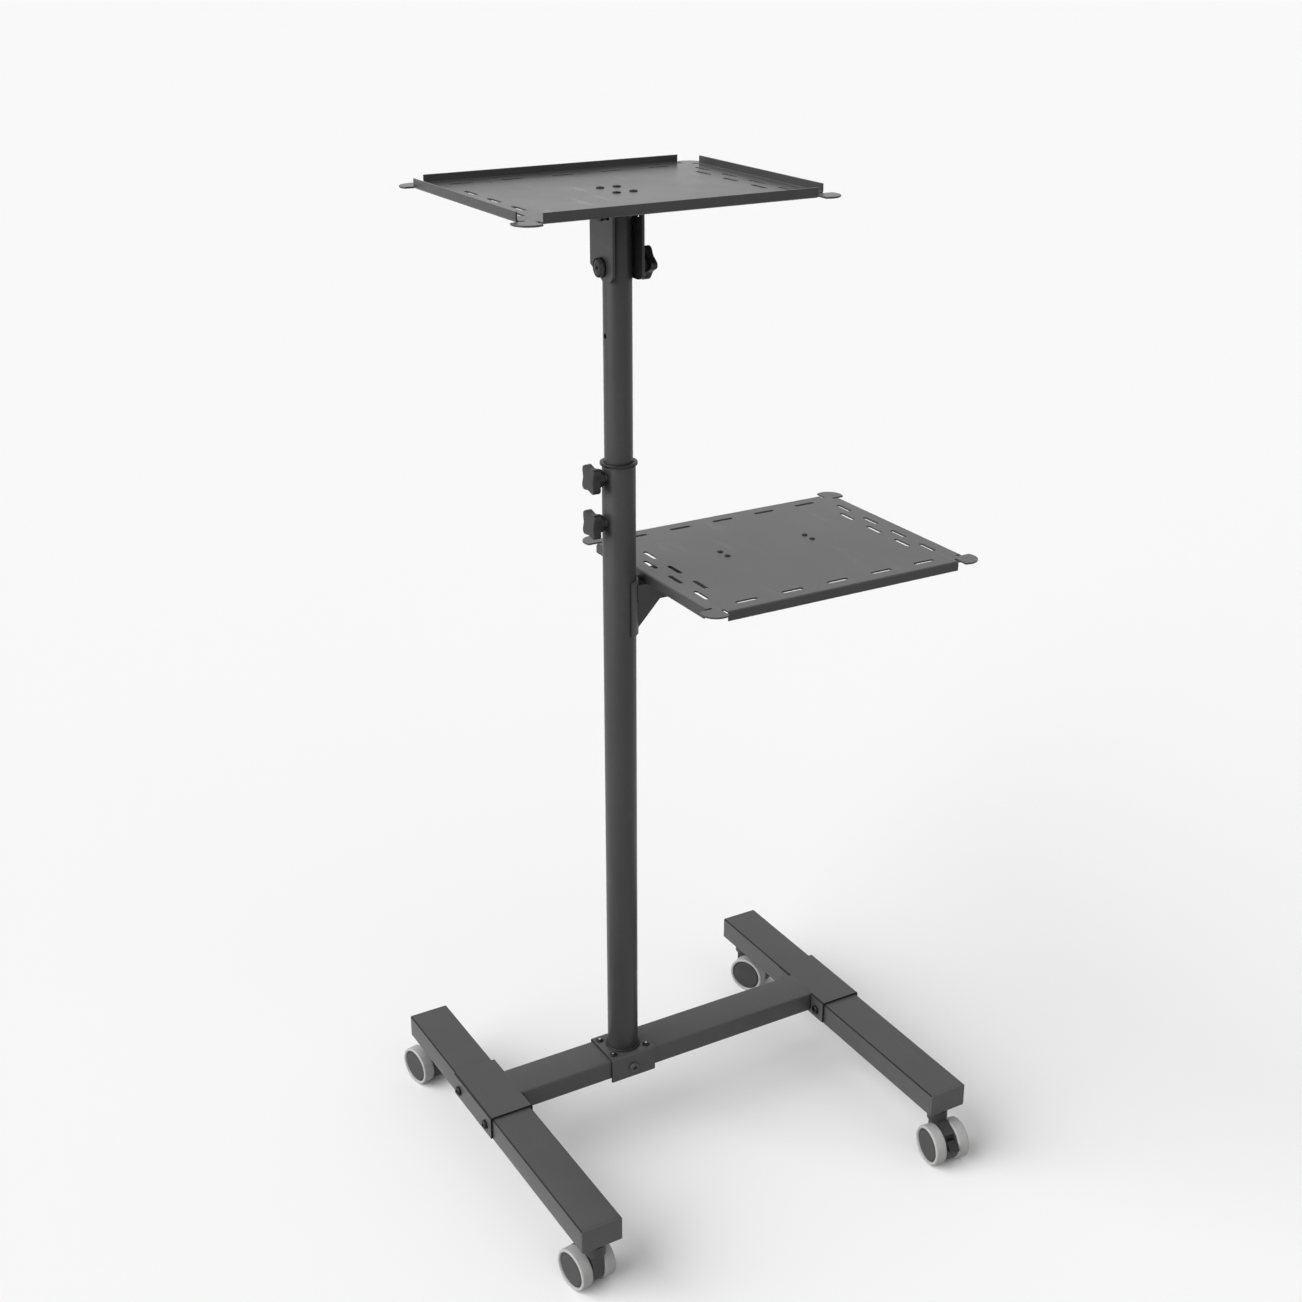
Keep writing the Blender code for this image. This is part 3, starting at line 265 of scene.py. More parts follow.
def look(name):
    """The named finish, made once from the scene's own settings."""
    if name in looks_made:
        return looks_made[name]
    looks = bpy.context.scene.stand_looks
    satin, gloss = looks.coat_roughness, looks.coat_gloss
    coat, mast = tuple(looks.coat_colour), tuple(looks.mast_colour)
    bolt, zinc = tuple(looks.bolt_colour), tuple(looks.zinc_colour)
    knob, tyre = tuple(looks.plastic_colour), tuple(looks.tyre_colour)
    hood, disc = tuple(looks.caster_colour), tuple(looks.disc_colour)
    rubbed_and_lit, painted_shade, hollow_shade_grey = shade(mast, 1.9), shade(coat, 0.3), shade(bolt, 0.3)
    # Each finish has its maker, the material's name, and what else the maker takes.
    recipes = {
        "powder_coat": (powder_coat, "base_powder_coat", looks, coat, satin, gloss),
        "mast_coat": (powder_coat, "mast_powder_coat", looks, mast, satin, gloss),
        "tray_coat": (powder_coat, "tray_powder_coat", looks, mast, looks.tray_roughness, gloss),
        # Painted light: the trays' top faces get a paler coat, which stands in for the light
        # falling on them from above.
        "painted_lit_floor": (powder_coat, "rubbed_tray_coat", looks, rubbed_and_lit, 0.3, 0.42),
        # Painted shade: the rolled edges get the darkest coat, for the shade along them.
        "painted_edge_shade": (powder_coat, "edge_powder_coat", looks, painted_shade, 0.55, 0.12),
        # Painted shade: the welds get the darkest coat, which stands in for the shade where the
        # parts meet.
        "weld": (weld_coat, "coated_weld", painted_shade, satin),
        "matte_black": (plain_metal, "matte_black_steel", bolt, 0.6, 0.0, 0.15),
        # Painted shade: near-black steel for the shade inside the pivot's cup.
        "recess": (plain_metal, "dark_recess", hollow_shade_grey, 0.7, 0.0, 0.02),
        # Near-black steel for the rim faces of the sheet walls.
        "cut_edge": (plain_metal, "cut_steel_edge", bolt, 0.55, 0.0, 0.15),
        "blackened_steel": (plain_metal, "blackened_steel", bolt, 0.34, 0.7),
        "zinc_steel": (plain_metal, "zinc_steel", zinc, 0.3, 1.0),
        "end_cap": (moulded, "end_cap_plastic", shade(coat, 0.95), 0.5, 0.00003, 0.15),
        "black_plastic": (moulded, "black_plastic", knob, 0.34, 0.00002, 0.3, 0.3),
        "caster_plastic": (moulded, "caster_plastic", hood, 0.42, 0.00003, 0.2, 0.35),
        "disc_plastic": (moulded, "disc_plastic", disc, 0.45, 0.00003, 0.2, 0.3),
        "tyre": (tyre_rubber, "grey_tyre_rubber", tyre, 0.55),
    }
    maker, *values = recipes[name]
    looks_made[name] = maker(*values)
    return looks_made[name]


def block(low, high):
    """A bmesh box between two corners."""
    bm = bmesh.new()
    made = bmesh.ops.create_cube(bm, size=1)
    bmesh.ops.scale(bm, vec=Vector(high) - Vector(low), verts=made["verts"])
    bmesh.ops.translate(bm, vec=(Vector(low) + Vector(high)) / 2, verts=made["verts"])
    return bm


def running(bm, axis, top=None):
    """The edges that run along an axis: all of them, or those at the top."""
    straight, near = 0.999, 0.001
    found = []
    for edge in bm.edges:
        start, end = (vertex.co for vertex in edge.verts)
        if abs((end - start).normalized()[axis]) > straight:
            if top is None or (start.z + end.z) / 2 > top - near:
                found.append(edge)
    return found


def round_edges(bm, edges, radius, segments=6):
    bmesh.ops.bevel(bm, geom=edges, offset=radius, offset_type="OFFSET", segments=segments,
                    profile=0.5, affect="EDGES", material=-1)


def open_faces(bm, *directions):
    """Takes away the flat faces that look in the given directions."""
    ways = [Vector(way) for way in directions]
    gone = [face for face in bm.faces if any(face.normal.dot(way) > 0.99 for way in ways)]
    bmesh.ops.delete(bm, geom=gone, context="FACES")


def loop(bm, steps, radius, height):
    place = Matrix.Translation((0, 0, height))
    made = bmesh.ops.create_circle(bm, segments=steps, radius=radius, matrix=place)
    return list({edge for vertex in made["verts"] for edge in vertex.link_edges})


def loft(rings):
    """Bridges circles given as (steps, radius, height), in order, and fills the two ends."""
    bm = bmesh.new()
    loops = [loop(bm, *ring) for ring in rings]
    for first, second in zip(loops, loops[1:]):
        bmesh.ops.bridge_loops(bm, edges=first + second)
    for edges in (loops[0], loops[-1]):
        bmesh.ops.contextual_create(bm, geom=edges)
    return bm


def turned(profile, steps=48):
    """Spins points (radius, height) a full turn round the Z axis; off it, they close a ring."""
    bm = bmesh.new()
    points = [bm.verts.new((radius, 0, height)) for radius, height in profile]
    ends = points[1:] + points[:1] if profile[0][0] > 0 else points[1:]
    lines = [bm.edges.new(pair) for pair in zip(points, ends)]
    bmesh.ops.spin(bm, geom=points + lines, cent=(0, 0, 0), axis=(0, 0, 1), angle=math.tau,
                   steps=steps, use_merge=True)
    bmesh.ops.remove_doubles(bm, verts=bm.verts, dist=0.000005)
    return bm


def quarter(centre, radius, start, end, steps=4):
    """Points round a quarter or less of a circle, for a turned profile."""
    angles = [math.radians(start + (end - start) * step / steps) for step in range(steps + 1)]
    return [(centre[0] + radius * math.cos(a), centre[1] + radius * math.sin(a)) for a in angles]


def put(bm, at, way=None):
    """Moves a shape built on the origin to its place, turned to face a way if one is given."""
    matrix = Matrix.Translation(at)
    if way:
        matrix = matrix @ facing[way]
    bmesh.ops.transform(bm, matrix=matrix, verts=bm.verts)
    return bm


def tint(made, finish, test):
    """Gives the faces whose normals pass the test a second finish."""
    number = len(made.data.materials)
    made.data.materials.append(look(finish))
    for face in made.data.polygons:
        if test(face.normal):
            face.material_index = number


def paint_bend_shade(made):
    """Paints shade on the rounded corners that run along a rolled or folded piece."""
    flat, endwise = 0.985, 0.2
    tint(made, "painted_edge_shade",
         lambda way: max(abs(part) for part in way) < flat and abs(way.y) < endwise)


def piece(name, bm, body, finish, nodes=(), edge=0.0, wall=0.0, sharp=40.0):
    """Makes a finished piece that rides on a body, with smooth bends and softened edges."""
    bmesh.ops.recalc_face_normals(bm, faces=bm.faces)
    mesh = bpy.data.meshes.new(name)
    bm.to_mesh(mesh)
    bm.free()
    mesh.shade_smooth()
    mesh.set_sharp_from_angle(angle=math.pi if edge else math.radians(sharp))
    mesh.materials.append(look(finish))
    made = bpy.data.objects.new(name, mesh)
    bpy.context.scene.collection.objects.link(made)
    if wall:
        sheet = made.modifiers.new("wall", "SOLIDIFY")
        sheet.thickness = wall
        sheet.offset = -1
        sheet.use_even_offset = True
        sheet.material_offset_rim = 1
        # The wall's rim faces get a near-black steel finish.
        mesh.materials.append(look("cut_edge"))
    if edge:
        soft = made.modifiers.new("edges", "BEVEL")
        soft.width = edge
        soft.segments = 2
        soft.limit_method = "ANGLE"
        soft.angle_limit = math.radians(sharp)
        even = made.modifiers.new("even_shading", "WEIGHTED_NORMAL")
        even.weight = 100
    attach(made, body)
    if nodes:
        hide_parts(*nodes)
    return made


def refined(name, node, finish, edge, sharp=40.0, change=None):
    """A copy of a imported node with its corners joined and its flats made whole, in its place."""
    bm = bmesh.new()
    bm.from_mesh(frame["nodes"][node].data)
    bmesh.ops.remove_doubles(bm, verts=bm.verts, dist=0.00001)
    bmesh.ops.dissolve_limit(bm, angle_limit=math.radians(0.5), verts=bm.verts, edges=bm.edges)
    if change:
        change(bm)
    body = frame["nodes"][node]["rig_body"]
    return piece(name, bm, body, finish, (node,), edge, sharp=sharp)


def carve(target, name, bm):
    """Cuts a closed shape out of a piece for good."""
    bmesh.ops.recalc_face_normals(bm, faces=bm.faces)
    mesh = bpy.data.meshes.new(name)
    bm.to_mesh(mesh)
    bm.free()
    tool = bpy.data.objects.new(name, mesh)
    bpy.context.scene.collection.objects.link(tool)
    change = target.modifiers.new(name, "BOOLEAN")
    change.object = tool
    change.solver = "EXACT"
    bpy.context.view_layer.update()
    shapes = bpy.context.evaluated_depsgraph_get()
    result = bpy.data.meshes.new_from_object(target.evaluated_get(shapes))
    target.modifiers.clear()
    target.data = result
    bpy.data.objects.remove(tool, do_unlink=True)


def keep(nodes, finish):
    """Gives carried-over nodes a finished material."""
    for node in nodes:
        data = frame["nodes"][node].data
        data.materials.clear()
        data.materials.append(look(finish))


def measured(node):
    """The low corner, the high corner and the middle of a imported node."""
    low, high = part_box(node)
    return low, high, (low + high) / 2


def socket_head(radius, height, socket):
    """A domed screw head on its bearing face, with a hexagon socket."""
    steps, dome = 32, 0.35
    return loft([(steps, radius * 0.96, 0), (steps, radius, height * 0.08),
                 (steps, radius, height * 0.45), (steps, radius * 0.94, height * (1 - dome)),
                 (steps, radius * 0.78, height * 0.93), (steps, radius * 0.62, height),
                 (6, socket, height), (6, socket, height * 0.3)])


def dome_head(radius, height):
    """A smooth low dome on its bearing face."""
    rim, steps = height * 0.3, 10
    angles = [math.radians(90 * step / steps) for step in range(steps)]
    dome = [(radius * math.cos(a), rim + (height - rim) * math.sin(a)) for a in angles]
    return turned([(0, 0), (radius * 0.97, 0), (radius, rim * 0.4), *dome, (0, height)])


def cap_nut(radius, height):
    """A six-sided nut with chamfered corners and a low dome."""
    return loft([(24, radius * 0.86, 0), (6, radius, height * 0.12), (6, radius, height * 0.7),
                 (24, radius * 0.84, height * 0.86), (24, radius * 0.6, height)])


class StandSizes(bpy.types.PropertyGroup):
    """Sizes of the details that the operators add."""

    edge: FloatProperty(
        name="Edge radius", description="Radius of softened edges on cut steel",
        default=0.0004, unit="LENGTH")
    bend: FloatProperty(
        name="Bend radius", description="Outside radius of the bends of the sleeves and foot",
        default=0.0029, unit="LENGTH")
    tube_corner: FloatProperty(
        name="Tube corner", description="Corner radius of the rectangular tubes",
        default=0.002, unit="LENGTH")
    weld: FloatProperty(
        name="Weld bead", description="Leg length of the weld beads", default=0.003,
        unit="LENGTH")
    screw: FloatProperty(
        name="Tray screw head", description="Radius of the upper tray's screw heads",
        default=0.0045, unit="LENGTH")
    round_steps: IntProperty(
        name="Round steps", description="Faces round a tube or a wheel", default=96)


class StandLooks(bpy.types.PropertyGroup):
    """Colours and finishes of the stand."""

    coat_colour: FloatVectorProperty(
        name="Powder coat", description="Colour of the coated base",
        default=(0.060, 0.060, 0.060), subtype="COLOR")
    mast_colour: FloatVectorProperty(
        name="Mast coat", description="Colour of the coated mast and trays",
        default=(0.036, 0.036, 0.037), subtype="COLOR")
    coat_roughness: FloatProperty(
        name="Coat roughness", description="Roughness of the powder coat",
        default=0.40, subtype="FACTOR")
    tray_roughness: FloatProperty(
        name="Tray roughness", description="Roughness of the trays' coat",
        default=0.32, subtype="FACTOR")
    coat_gloss: FloatProperty(
        name="Coat gloss", description="Specular level of the powder coat",
        default=0.35, subtype="FACTOR")
    grain: FloatProperty(
        name="Grain", description="Orange peel waves to the metre", default=1100.0)
    grain_depth: FloatProperty(
        name="Grain depth", description="Height of the orange peel",
        default=0.00006, unit="LENGTH")
    plastic_colour: FloatVectorProperty(
        name="Black plastic", description="Colour of the knobs and collar",
        default=(0.014, 0.014, 0.014), subtype="COLOR")
    caster_colour: FloatVectorProperty(
        name="Caster hoods", description="Colour of the casters' hoods",
        default=(0.034, 0.034, 0.035), subtype="COLOR")
    disc_colour: FloatVectorProperty(
        name="Wheel discs", description="Colour of the wheels' discs",
        default=(0.038, 0.038, 0.038), subtype="COLOR")
    bolt_colour: FloatVectorProperty(
        name="Bolts", description="Colour of the blackened bolts",
        default=(0.012, 0.012, 0.012), subtype="COLOR")
    zinc_colour: FloatVectorProperty(
        name="Zinc", description="Colour of the plated axles and screw tips",
        default=(0.45, 0.45, 0.46), subtype="COLOR")
    tyre_colour: FloatVectorProperty(
        name="Tyres", description="Colour of the tyres",
        default=(0.38, 0.38, 0.375), subtype="COLOR")


class StandStage(bpy.types.PropertyGroup):
    """The studio round the stand."""

    camera_place: FloatVectorProperty(
        name="Camera", description="Where the camera stands",
        default=(-1.019299, -1.643326, 1.46272), subtype="TRANSLATION")
    camera_turn: FloatProperty(
        name="Heading", description="Turn of the camera about the vertical",
        default=math.radians(-29.996), subtype="ANGLE")
    camera_tilt: FloatProperty(
        name="Tilt", description="Tilt of the camera up from straight down",
        default=math.radians(67.058), subtype="ANGLE")
    lens: FloatProperty(
        name="Lens", description="Focal length in millimetres", default=49.96)
    backdrop: FloatVectorProperty(
        name="Backdrop", description="Colour of the floor and the background",
        default=(0.92, 0.92, 0.92), subtype="COLOR")
    bounce: FloatVectorProperty(
        name="Bounce", description="Colour of the light that the floor throws back",
        default=(0.45, 0.45, 0.45), subtype="COLOR")
    ambient: FloatProperty(
        name="Ambient", description="Strength of the even light", default=0.40)
    key: FloatProperty(
        name="Key light", description="Strength of the light from the left", default=3.5)
    fill: FloatProperty(
        name="Fill light", description="Strength of the light from the front", default=0.35)


class StandOperator:
    """What the stand's operators share."""

    bl_options = {"REGISTER", "UNDO"}

    def execute(self, context):
        self.build(context.scene.stand_sizes)
        return {"FINISHED"}


class STAND_OT_legs(StandOperator, bpy.types.Operator):
    """Two rectangular tube legs with moulded end caps"""

    bl_idname = "stand.legs"
    bl_label = "Legs and end caps"

    def build(self, sizes):
        for side in ("left", "right"):
            node = "leg_" + side
            bm = block(*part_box(node))
            round_edges(bm, running(bm, Y), sizes.tube_corner)
            tube = piece("leg_tube_" + side, bm, "base", "powder_coat", (node,))
            paint_bend_shade(tube)
            for end in ("front", "rear"):
                self.cap(sizes, end + "_" + side)

    def cap(self, sizes, corner):
        """An end cap whose rounded face closes the tube."""
        depth, face_radius = 0.003, 0.0009
        node = "leg_end_cap_" + corner
        low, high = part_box(node)
        if corner.startswith("front"):
            outward = -1
            high.y = low.y + depth
        else:
            outward = 1
            low.y = high.y - depth
        bm = block(low, high)
        round_edges(bm, running(bm, Y), sizes.tube_corner)
        face = max(bm.faces, key=lambda f: outward * f.calc_center_median().y)
        round_edges(bm, list(face.edges), face_radius, 3)
        cap = piece("end_cap_" + corner, bm, "base", "end_cap", (node,), sharp=50.0)
        paint_bend_shade(cap)


class STAND_OT_sleeves(StandOperator, bpy.types.Operator):
    """Two bent sleeves over the legs, and the crossbeam between them"""

    bl_idname = "stand.sleeves"
    bl_label = "Sleeves and crossbeam"

    def build(self, sizes):
        for node in ("sleeve_left", "sleeve_right"):
            low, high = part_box(node)
            bm = block(low, high)
            open_faces(bm, (0, 0, -1), (0, 1, 0), (0, -1, 0))
            round_edges(bm, running(bm, Y, high.z), sizes.bend)
            sleeve = piece("bent_" + node, bm, "base", "powder_coat", (node,),
                           sizes.edge, wall=0.0025)
            paint_bend_shade(sleeve)
        bm = block(*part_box("crossbeam"))
        round_edges(bm, running(bm, X), sizes.tube_corner)
        piece("crossbeam_tube", bm, "base", "powder_coat", ("crossbeam",))


class STAND_OT_base_bolts(StandOperator, bpy.types.Operator):
    """The bolts and nuts through the sleeves and the mast's foot"""

    bl_idname = "stand.base_bolts"
    bl_label = "Base bolts"

    def build(self, sizes):
        sleeve_radius, foot_radius = 0.006, 0.0065
        for corner in corners:
            self.bolt("sleeve_bolt_" + corner, "x", sleeve_radius, "blackened_steel")
        self.bolt("foot_bolt", "y", foot_radius, "powder_coat")

    def bolt(self, node, way, radius, finish):
        """A domed head at the low end of a bolt and a cap nut at its high end."""
        height, socket = 0.0035, radius * 0.42
        axis = "xy".index(way)
        low, high, at = measured(node)
        at[axis] = low[axis] + height
        bm = put(socket_head(radius, height, socket), at, "-" + way)
        piece(node + "_head", bm, "base", finish, (node,))
        at[axis] = high[axis] - height
        bm = put(cap_nut(radius, height), at, way)
        piece(node + "_nut", bm, "base", finish, sharp=30.0)


class STAND_OT_foot(StandOperator, bpy.types.Operator):
    """The bracket bent over the crossbeam, with its four screws"""

    bl_idname = "stand.foot"
    bl_label = "Mast foot"

    def build(self, sizes):
        low, high, middle = measured("foot_bracket")
        bm = block(low, high)
        open_faces(bm, (0, 0, -1), (1, 0, 0), (-1, 0, 0))
        round_edges(bm, running(bm, X, high.z), sizes.bend)
        piece("mast_foot", bm, "base", "powder_coat", ("foot_bracket",),
              sizes.edge, wall=0.0027)
        spread_x, spread_y = 0.0237, 0.018
        for number, (x, y) in enumerate(around):
            at = Vector((middle.x + spread_x * x, middle.y + spread_y * y, high.z))
            self.screw(number, at)

    def screw(self, number, at):
        """A low domed head with a bright zinc spot on its crown, a painted highlight."""
        radius, height = 0.0046, 0.0026
        tip_radius, tip_height, sunk = 0.0015, 0.0005, 0.0002
        piece("foot_screw_%d" % number, put(dome_head(radius, height), at), "base",
              "blackened_steel")
        # Painted highlight: the bright zinc spot stands in for the dome's highlight.
        top = at + Vector((0, 0, height - sunk))
        piece("foot_screw_tip_%d" % number, put(dome_head(tip_radius, tip_height), top), "base",
              "zinc_steel")


class STAND_OT_mast(StandOperator, bpy.types.Operator):
    """The two mast tubes, the collar between them, and the top plug"""

    bl_idname = "stand.mast"
    bl_label = "Mast tubes and collar"

    def build(self, sizes):
        middle = measured("upper_tube")[2]
        centre = (middle.x, middle.y, 0)
        self.tube(sizes, "lower", "base", lower_radius, 0.0015, centre)
        upper = self.tube(sizes, "upper", "mast", upper_radius, 0.0018, centre)
        self.index_hole(upper, middle)
        self.bosses(middle)
        self.collar(sizes, centre)
        self.plug(centre)

    def tube(self, sizes, level, body, radius, wall, centre):
        """A round tube with a softened rim outside at both ends and inside at the top."""
        node, soft = level + "_tube", 0.0003
        low, high = (corner.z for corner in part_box(node))
        profile = [(radius - wall, low), *quarter((radius - soft, low + soft), soft, -90, 0, 2),
                   *quarter((radius - soft, high - soft), soft, 0, 90, 2),
                   *quarter((radius - wall + soft, high - soft), soft, 90, 180, 2)]
        bm = put(turned(profile, sizes.round_steps), centre)
        return piece(level + "_mast_tube", bm, body, "mast_coat", (node,))

    def index_hole(self, tube, middle):
        """A small hole in the upper tube, on the knobs' side and above them."""
        radius, inner, outer, rise = 0.003, 0.010, 0.020, 0.1576
        height = joints["height_knob_upper_turn"]["pos_m"][2] + rise
        bm = loft([(24, radius, inner), (24, radius, outer)])
        carve(tube, "index_hole", put(bm, (middle.x, middle.y, height), "-x"))

    def bosses(self, middle):
        """The two short sockets on the lower tube that the knobs' studs screw into."""
        steps, wide, radius = 32, 0.0062, 0.0055
        root, neck, tip = 0.0178, 0.0198, 0.0266
        for level in ("upper", "lower"):
            height = joints["height_knob_" + level + "_turn"]["pos_m"][2]
            bm = loft([(steps, wide, root), (steps, radius, neck), (steps, radius, tip)])
            bm = put(bm, (middle.x, middle.y, height), "-x")
            piece("knob_boss_" + level, bm, "base", "mast_coat")

    def collar(self, sizes, centre):
        """A thin ring on the lower tube's mouth, with a skirt down inside it."""
        low, high = (corner.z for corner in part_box("mast_collar"))
        bore, mouth, skirt, rim = 0.0163, 0.0172, 0.0171, 0.0212
        seat, soft, lead = high - 0.0036, 0.0009, 0.0008
        profile = [(bore, low), (skirt, low), (skirt, seat),
                   *quarter((rim - soft, seat + soft), soft, -90, 0),
                   *quarter((rim - soft, high - soft), soft, 0, 90),
                   (mouth, high), (bore, high - lead)]
        bm = put(turned(profile, sizes.round_steps), centre)
        piece("collar", bm, "base", "black_plastic", ("mast_collar",))

    def plug(self, centre):
        """A cap as wide as the upper tube, on a stem inside it."""
        low, high = (corner.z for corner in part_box("upper_tube_plug"))
        stem, cap, soft = 0.0138, 0.002, 0.0008
        profile = [(0, low), (stem, low), (stem, high - cap), (upper_radius, high - cap),
                   *quarter((upper_radius - soft, high - soft), soft, 0, 90), (0, high)]
        bm = put(turned(profile), centre)
        piece("mast_plug", bm, "mast", "black_plastic", ("upper_tube_plug",))


class STAND_OT_knobs(StandOperator, bpy.types.Operator):
    """Three clamping knobs with four lobes each"""

    bl_idname = "stand.knobs"
    bl_label = "Clamping knobs"

    def build(self, sizes):
        for node in ("height_knob_upper", "height_knob_lower", "tilt_knob"):
            refined(node + "_grip", node, "black_plastic", edge=0.0011,
                    sharp=50.0)


class STAND_OT_tilt_head(StandOperator, bpy.types.Operator):
    """The slotted head that the upper tray tilts on, with its bolts"""

    bl_idname = "stand.tilt_head"
    bl_label = "Tilting head"

    def build(self, sizes):
        refined("slotted_head", "tilt_bracket", "mast_coat", sizes.edge)
        self.pivot_head()
        self.stop_bolt_ends()
        self.spacer()
        keep(["pivot_bolt", "tilt_stop_bolt"], "blackened_steel")

    def pivot_head(self):
        """A rimmed cup over the pivot bolt's head, with painted shade inside."""
        rim, height, soft, cup, over = 0.0104, 0.0046, 0.0006, 0.0012, 0.005
        lip, wall = 0.001, 0.0014
        low, _, middle = measured("pivot_bolt")
        profile = [(0, 0), (rim, 0), *quarter((rim - soft, height - soft), soft, 0, 90, 3),
                   (rim - lip, height), (rim - wall, cup), (0, cup)]
        bm = put(turned(profile), (low.x + over, middle.y, middle.z), "-x")
        head = piece("pivot_bolt_head", bm, "mast", "powder_coat")
        # Painted shade: the cup's floor gets the near-black finish for the shade in the hollow.
        tint(head, "recess", lambda way: way.x < -0.9)

    def stop_bolt_ends(self):
        """The domed ends of the bolt in the curved slot."""
        radius, height, socket = 0.008, 0.003, 0.0024
        low, high, middle = measured("tilt_stop_bolt")
        ends = (("stop_bolt_head", "-x", low.x + height), ("stop_bolt_nut", "x", high.x - height))
        for name, way, x in ends:
            bm = put(socket_head(radius, height, socket), (x, middle.y, middle.z), way)
            piece(name, bm, "mast", "blackened_steel")

    def spacer(self):
        """A ring with rounded rims between the tube and the head."""
        low, high, middle = measured("tilt_spacer")
        bore, flat, soft = 0.0043, 0.0092, 0.0008
        length = high.x - low.x
        profile = [(bore, 0), (flat, 0), *quarter((flat, soft), soft, -90, 0, 3),
                   *quarter((flat, length - soft), soft, 0, 90, 3), (bore, length)]
        bm = put(turned(profile), (low.x, middle.y, middle.z), "x")
        piece("spacer", bm, "mast", "black_plastic", ("tilt_spacer",))


class STAND_OT_trays(StandOperator, bpy.types.Operator):
    """Two folded steel trays with slotted floors, and their screws"""

    bl_idname = "stand.trays"
    bl_label = "Trays"

    def build(self, sizes):
        self.pan("upper_tray_pan", "projector_tray")
        self.pan("lower_tray_pan", "laptop_tray")
        mast = measured("upper_tube")[2]
        sheet, arm_middle = 0.002, 0.200
        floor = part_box("projector_tray")[0].z + sheet
        self.screws("upper_tray_screw", "tilt_head", (mast.x, mast.y, floor), (0.010, 0.018),
                    (sizes.screw, 0.0016, 0.0014))
        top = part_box("laptop_tray")[1].z
        self.screws("lower_tray_screw", "base", (mast.x + arm_middle, mast.y, top),
                    (0.060, 0.008), (0.0036, 0.0013, 0.0012))

    def pan(self, name, node):
        """A tray whose floor is painted paler than its lips, as painted light from above."""
        pan = refined(name, node, "tray_coat", edge=0.0005,
                      change=self.trim_corners)
        # Painted light: the upward faces get the paler coat.
        tint(pan, "painted_lit_floor", lambda way: way.z > 0.95)

    def screws(self, name, body, middle, spread, head):
        """Four screws round a middle, with heads of a radius, height and socket."""
        for number, (x, y) in enumerate(around):
            at = (middle[0] + spread[0] * x, middle[1] + spread[1] * y, middle[2])
            piece("%s_%d" % (name, number), put(socket_head(*head), at), body,
                  "blackened_steel")

    def trim_corners(self, bm):
        """Draws in the lobes past the corners, and lets the lips and notches follow them.

        Points are measured from a lobe's old centre. Those on its arc go to the new radius, as
        far out as before, and those beside it, on a lip or a notch, run along."""
        tip = (0.187, 0.152)
        old, new, slack, arc = 0.027, 0.0175, 0.0004, 0.01
        beside, behind = 0.005, -0.018
        run = (old - new) * (1 + math.sin(math.radians(28)))
        spans = [[vertex.co[axis] for vertex in bm.verts] for axis in (X, Y)]
        middle = [(min(span) + max(span)) / 2 for span in spans]
        for vertex in bm.verts:
            offset = [vertex.co[axis] - middle[axis] for axis in (X, Y)]
            u, v = (abs(part) for part in offset)
            out = (u - tip[0] + old, v - tip[1] + old)
            if abs(math.hypot(*out) - old) < slack and max(out) > arc:
                u, v = (reach - new + part * new / old for reach, part in zip(tip, out))
            elif out[0] > beside and out[1] > behind:
                v += run
            elif out[1] > beside and out[0] > behind:
                u += run
            vertex.co.x = middle[0] + math.copysign(u, offset[0])
            vertex.co.y = middle[1] + math.copysign(v, offset[1])


class STAND_OT_arm(StandOperator, bpy.types.Operator):
    """The arm and saddle that carry the lower tray"""

    bl_idname = "stand.arm"
    bl_label = "Arm and saddle"

    def build(self, sizes):
        refined("arm_channel", "tray_arm", "mast_coat", sizes.edge)
        refined("arm_saddle", "tray_saddle", "mast_coat", sizes.edge)


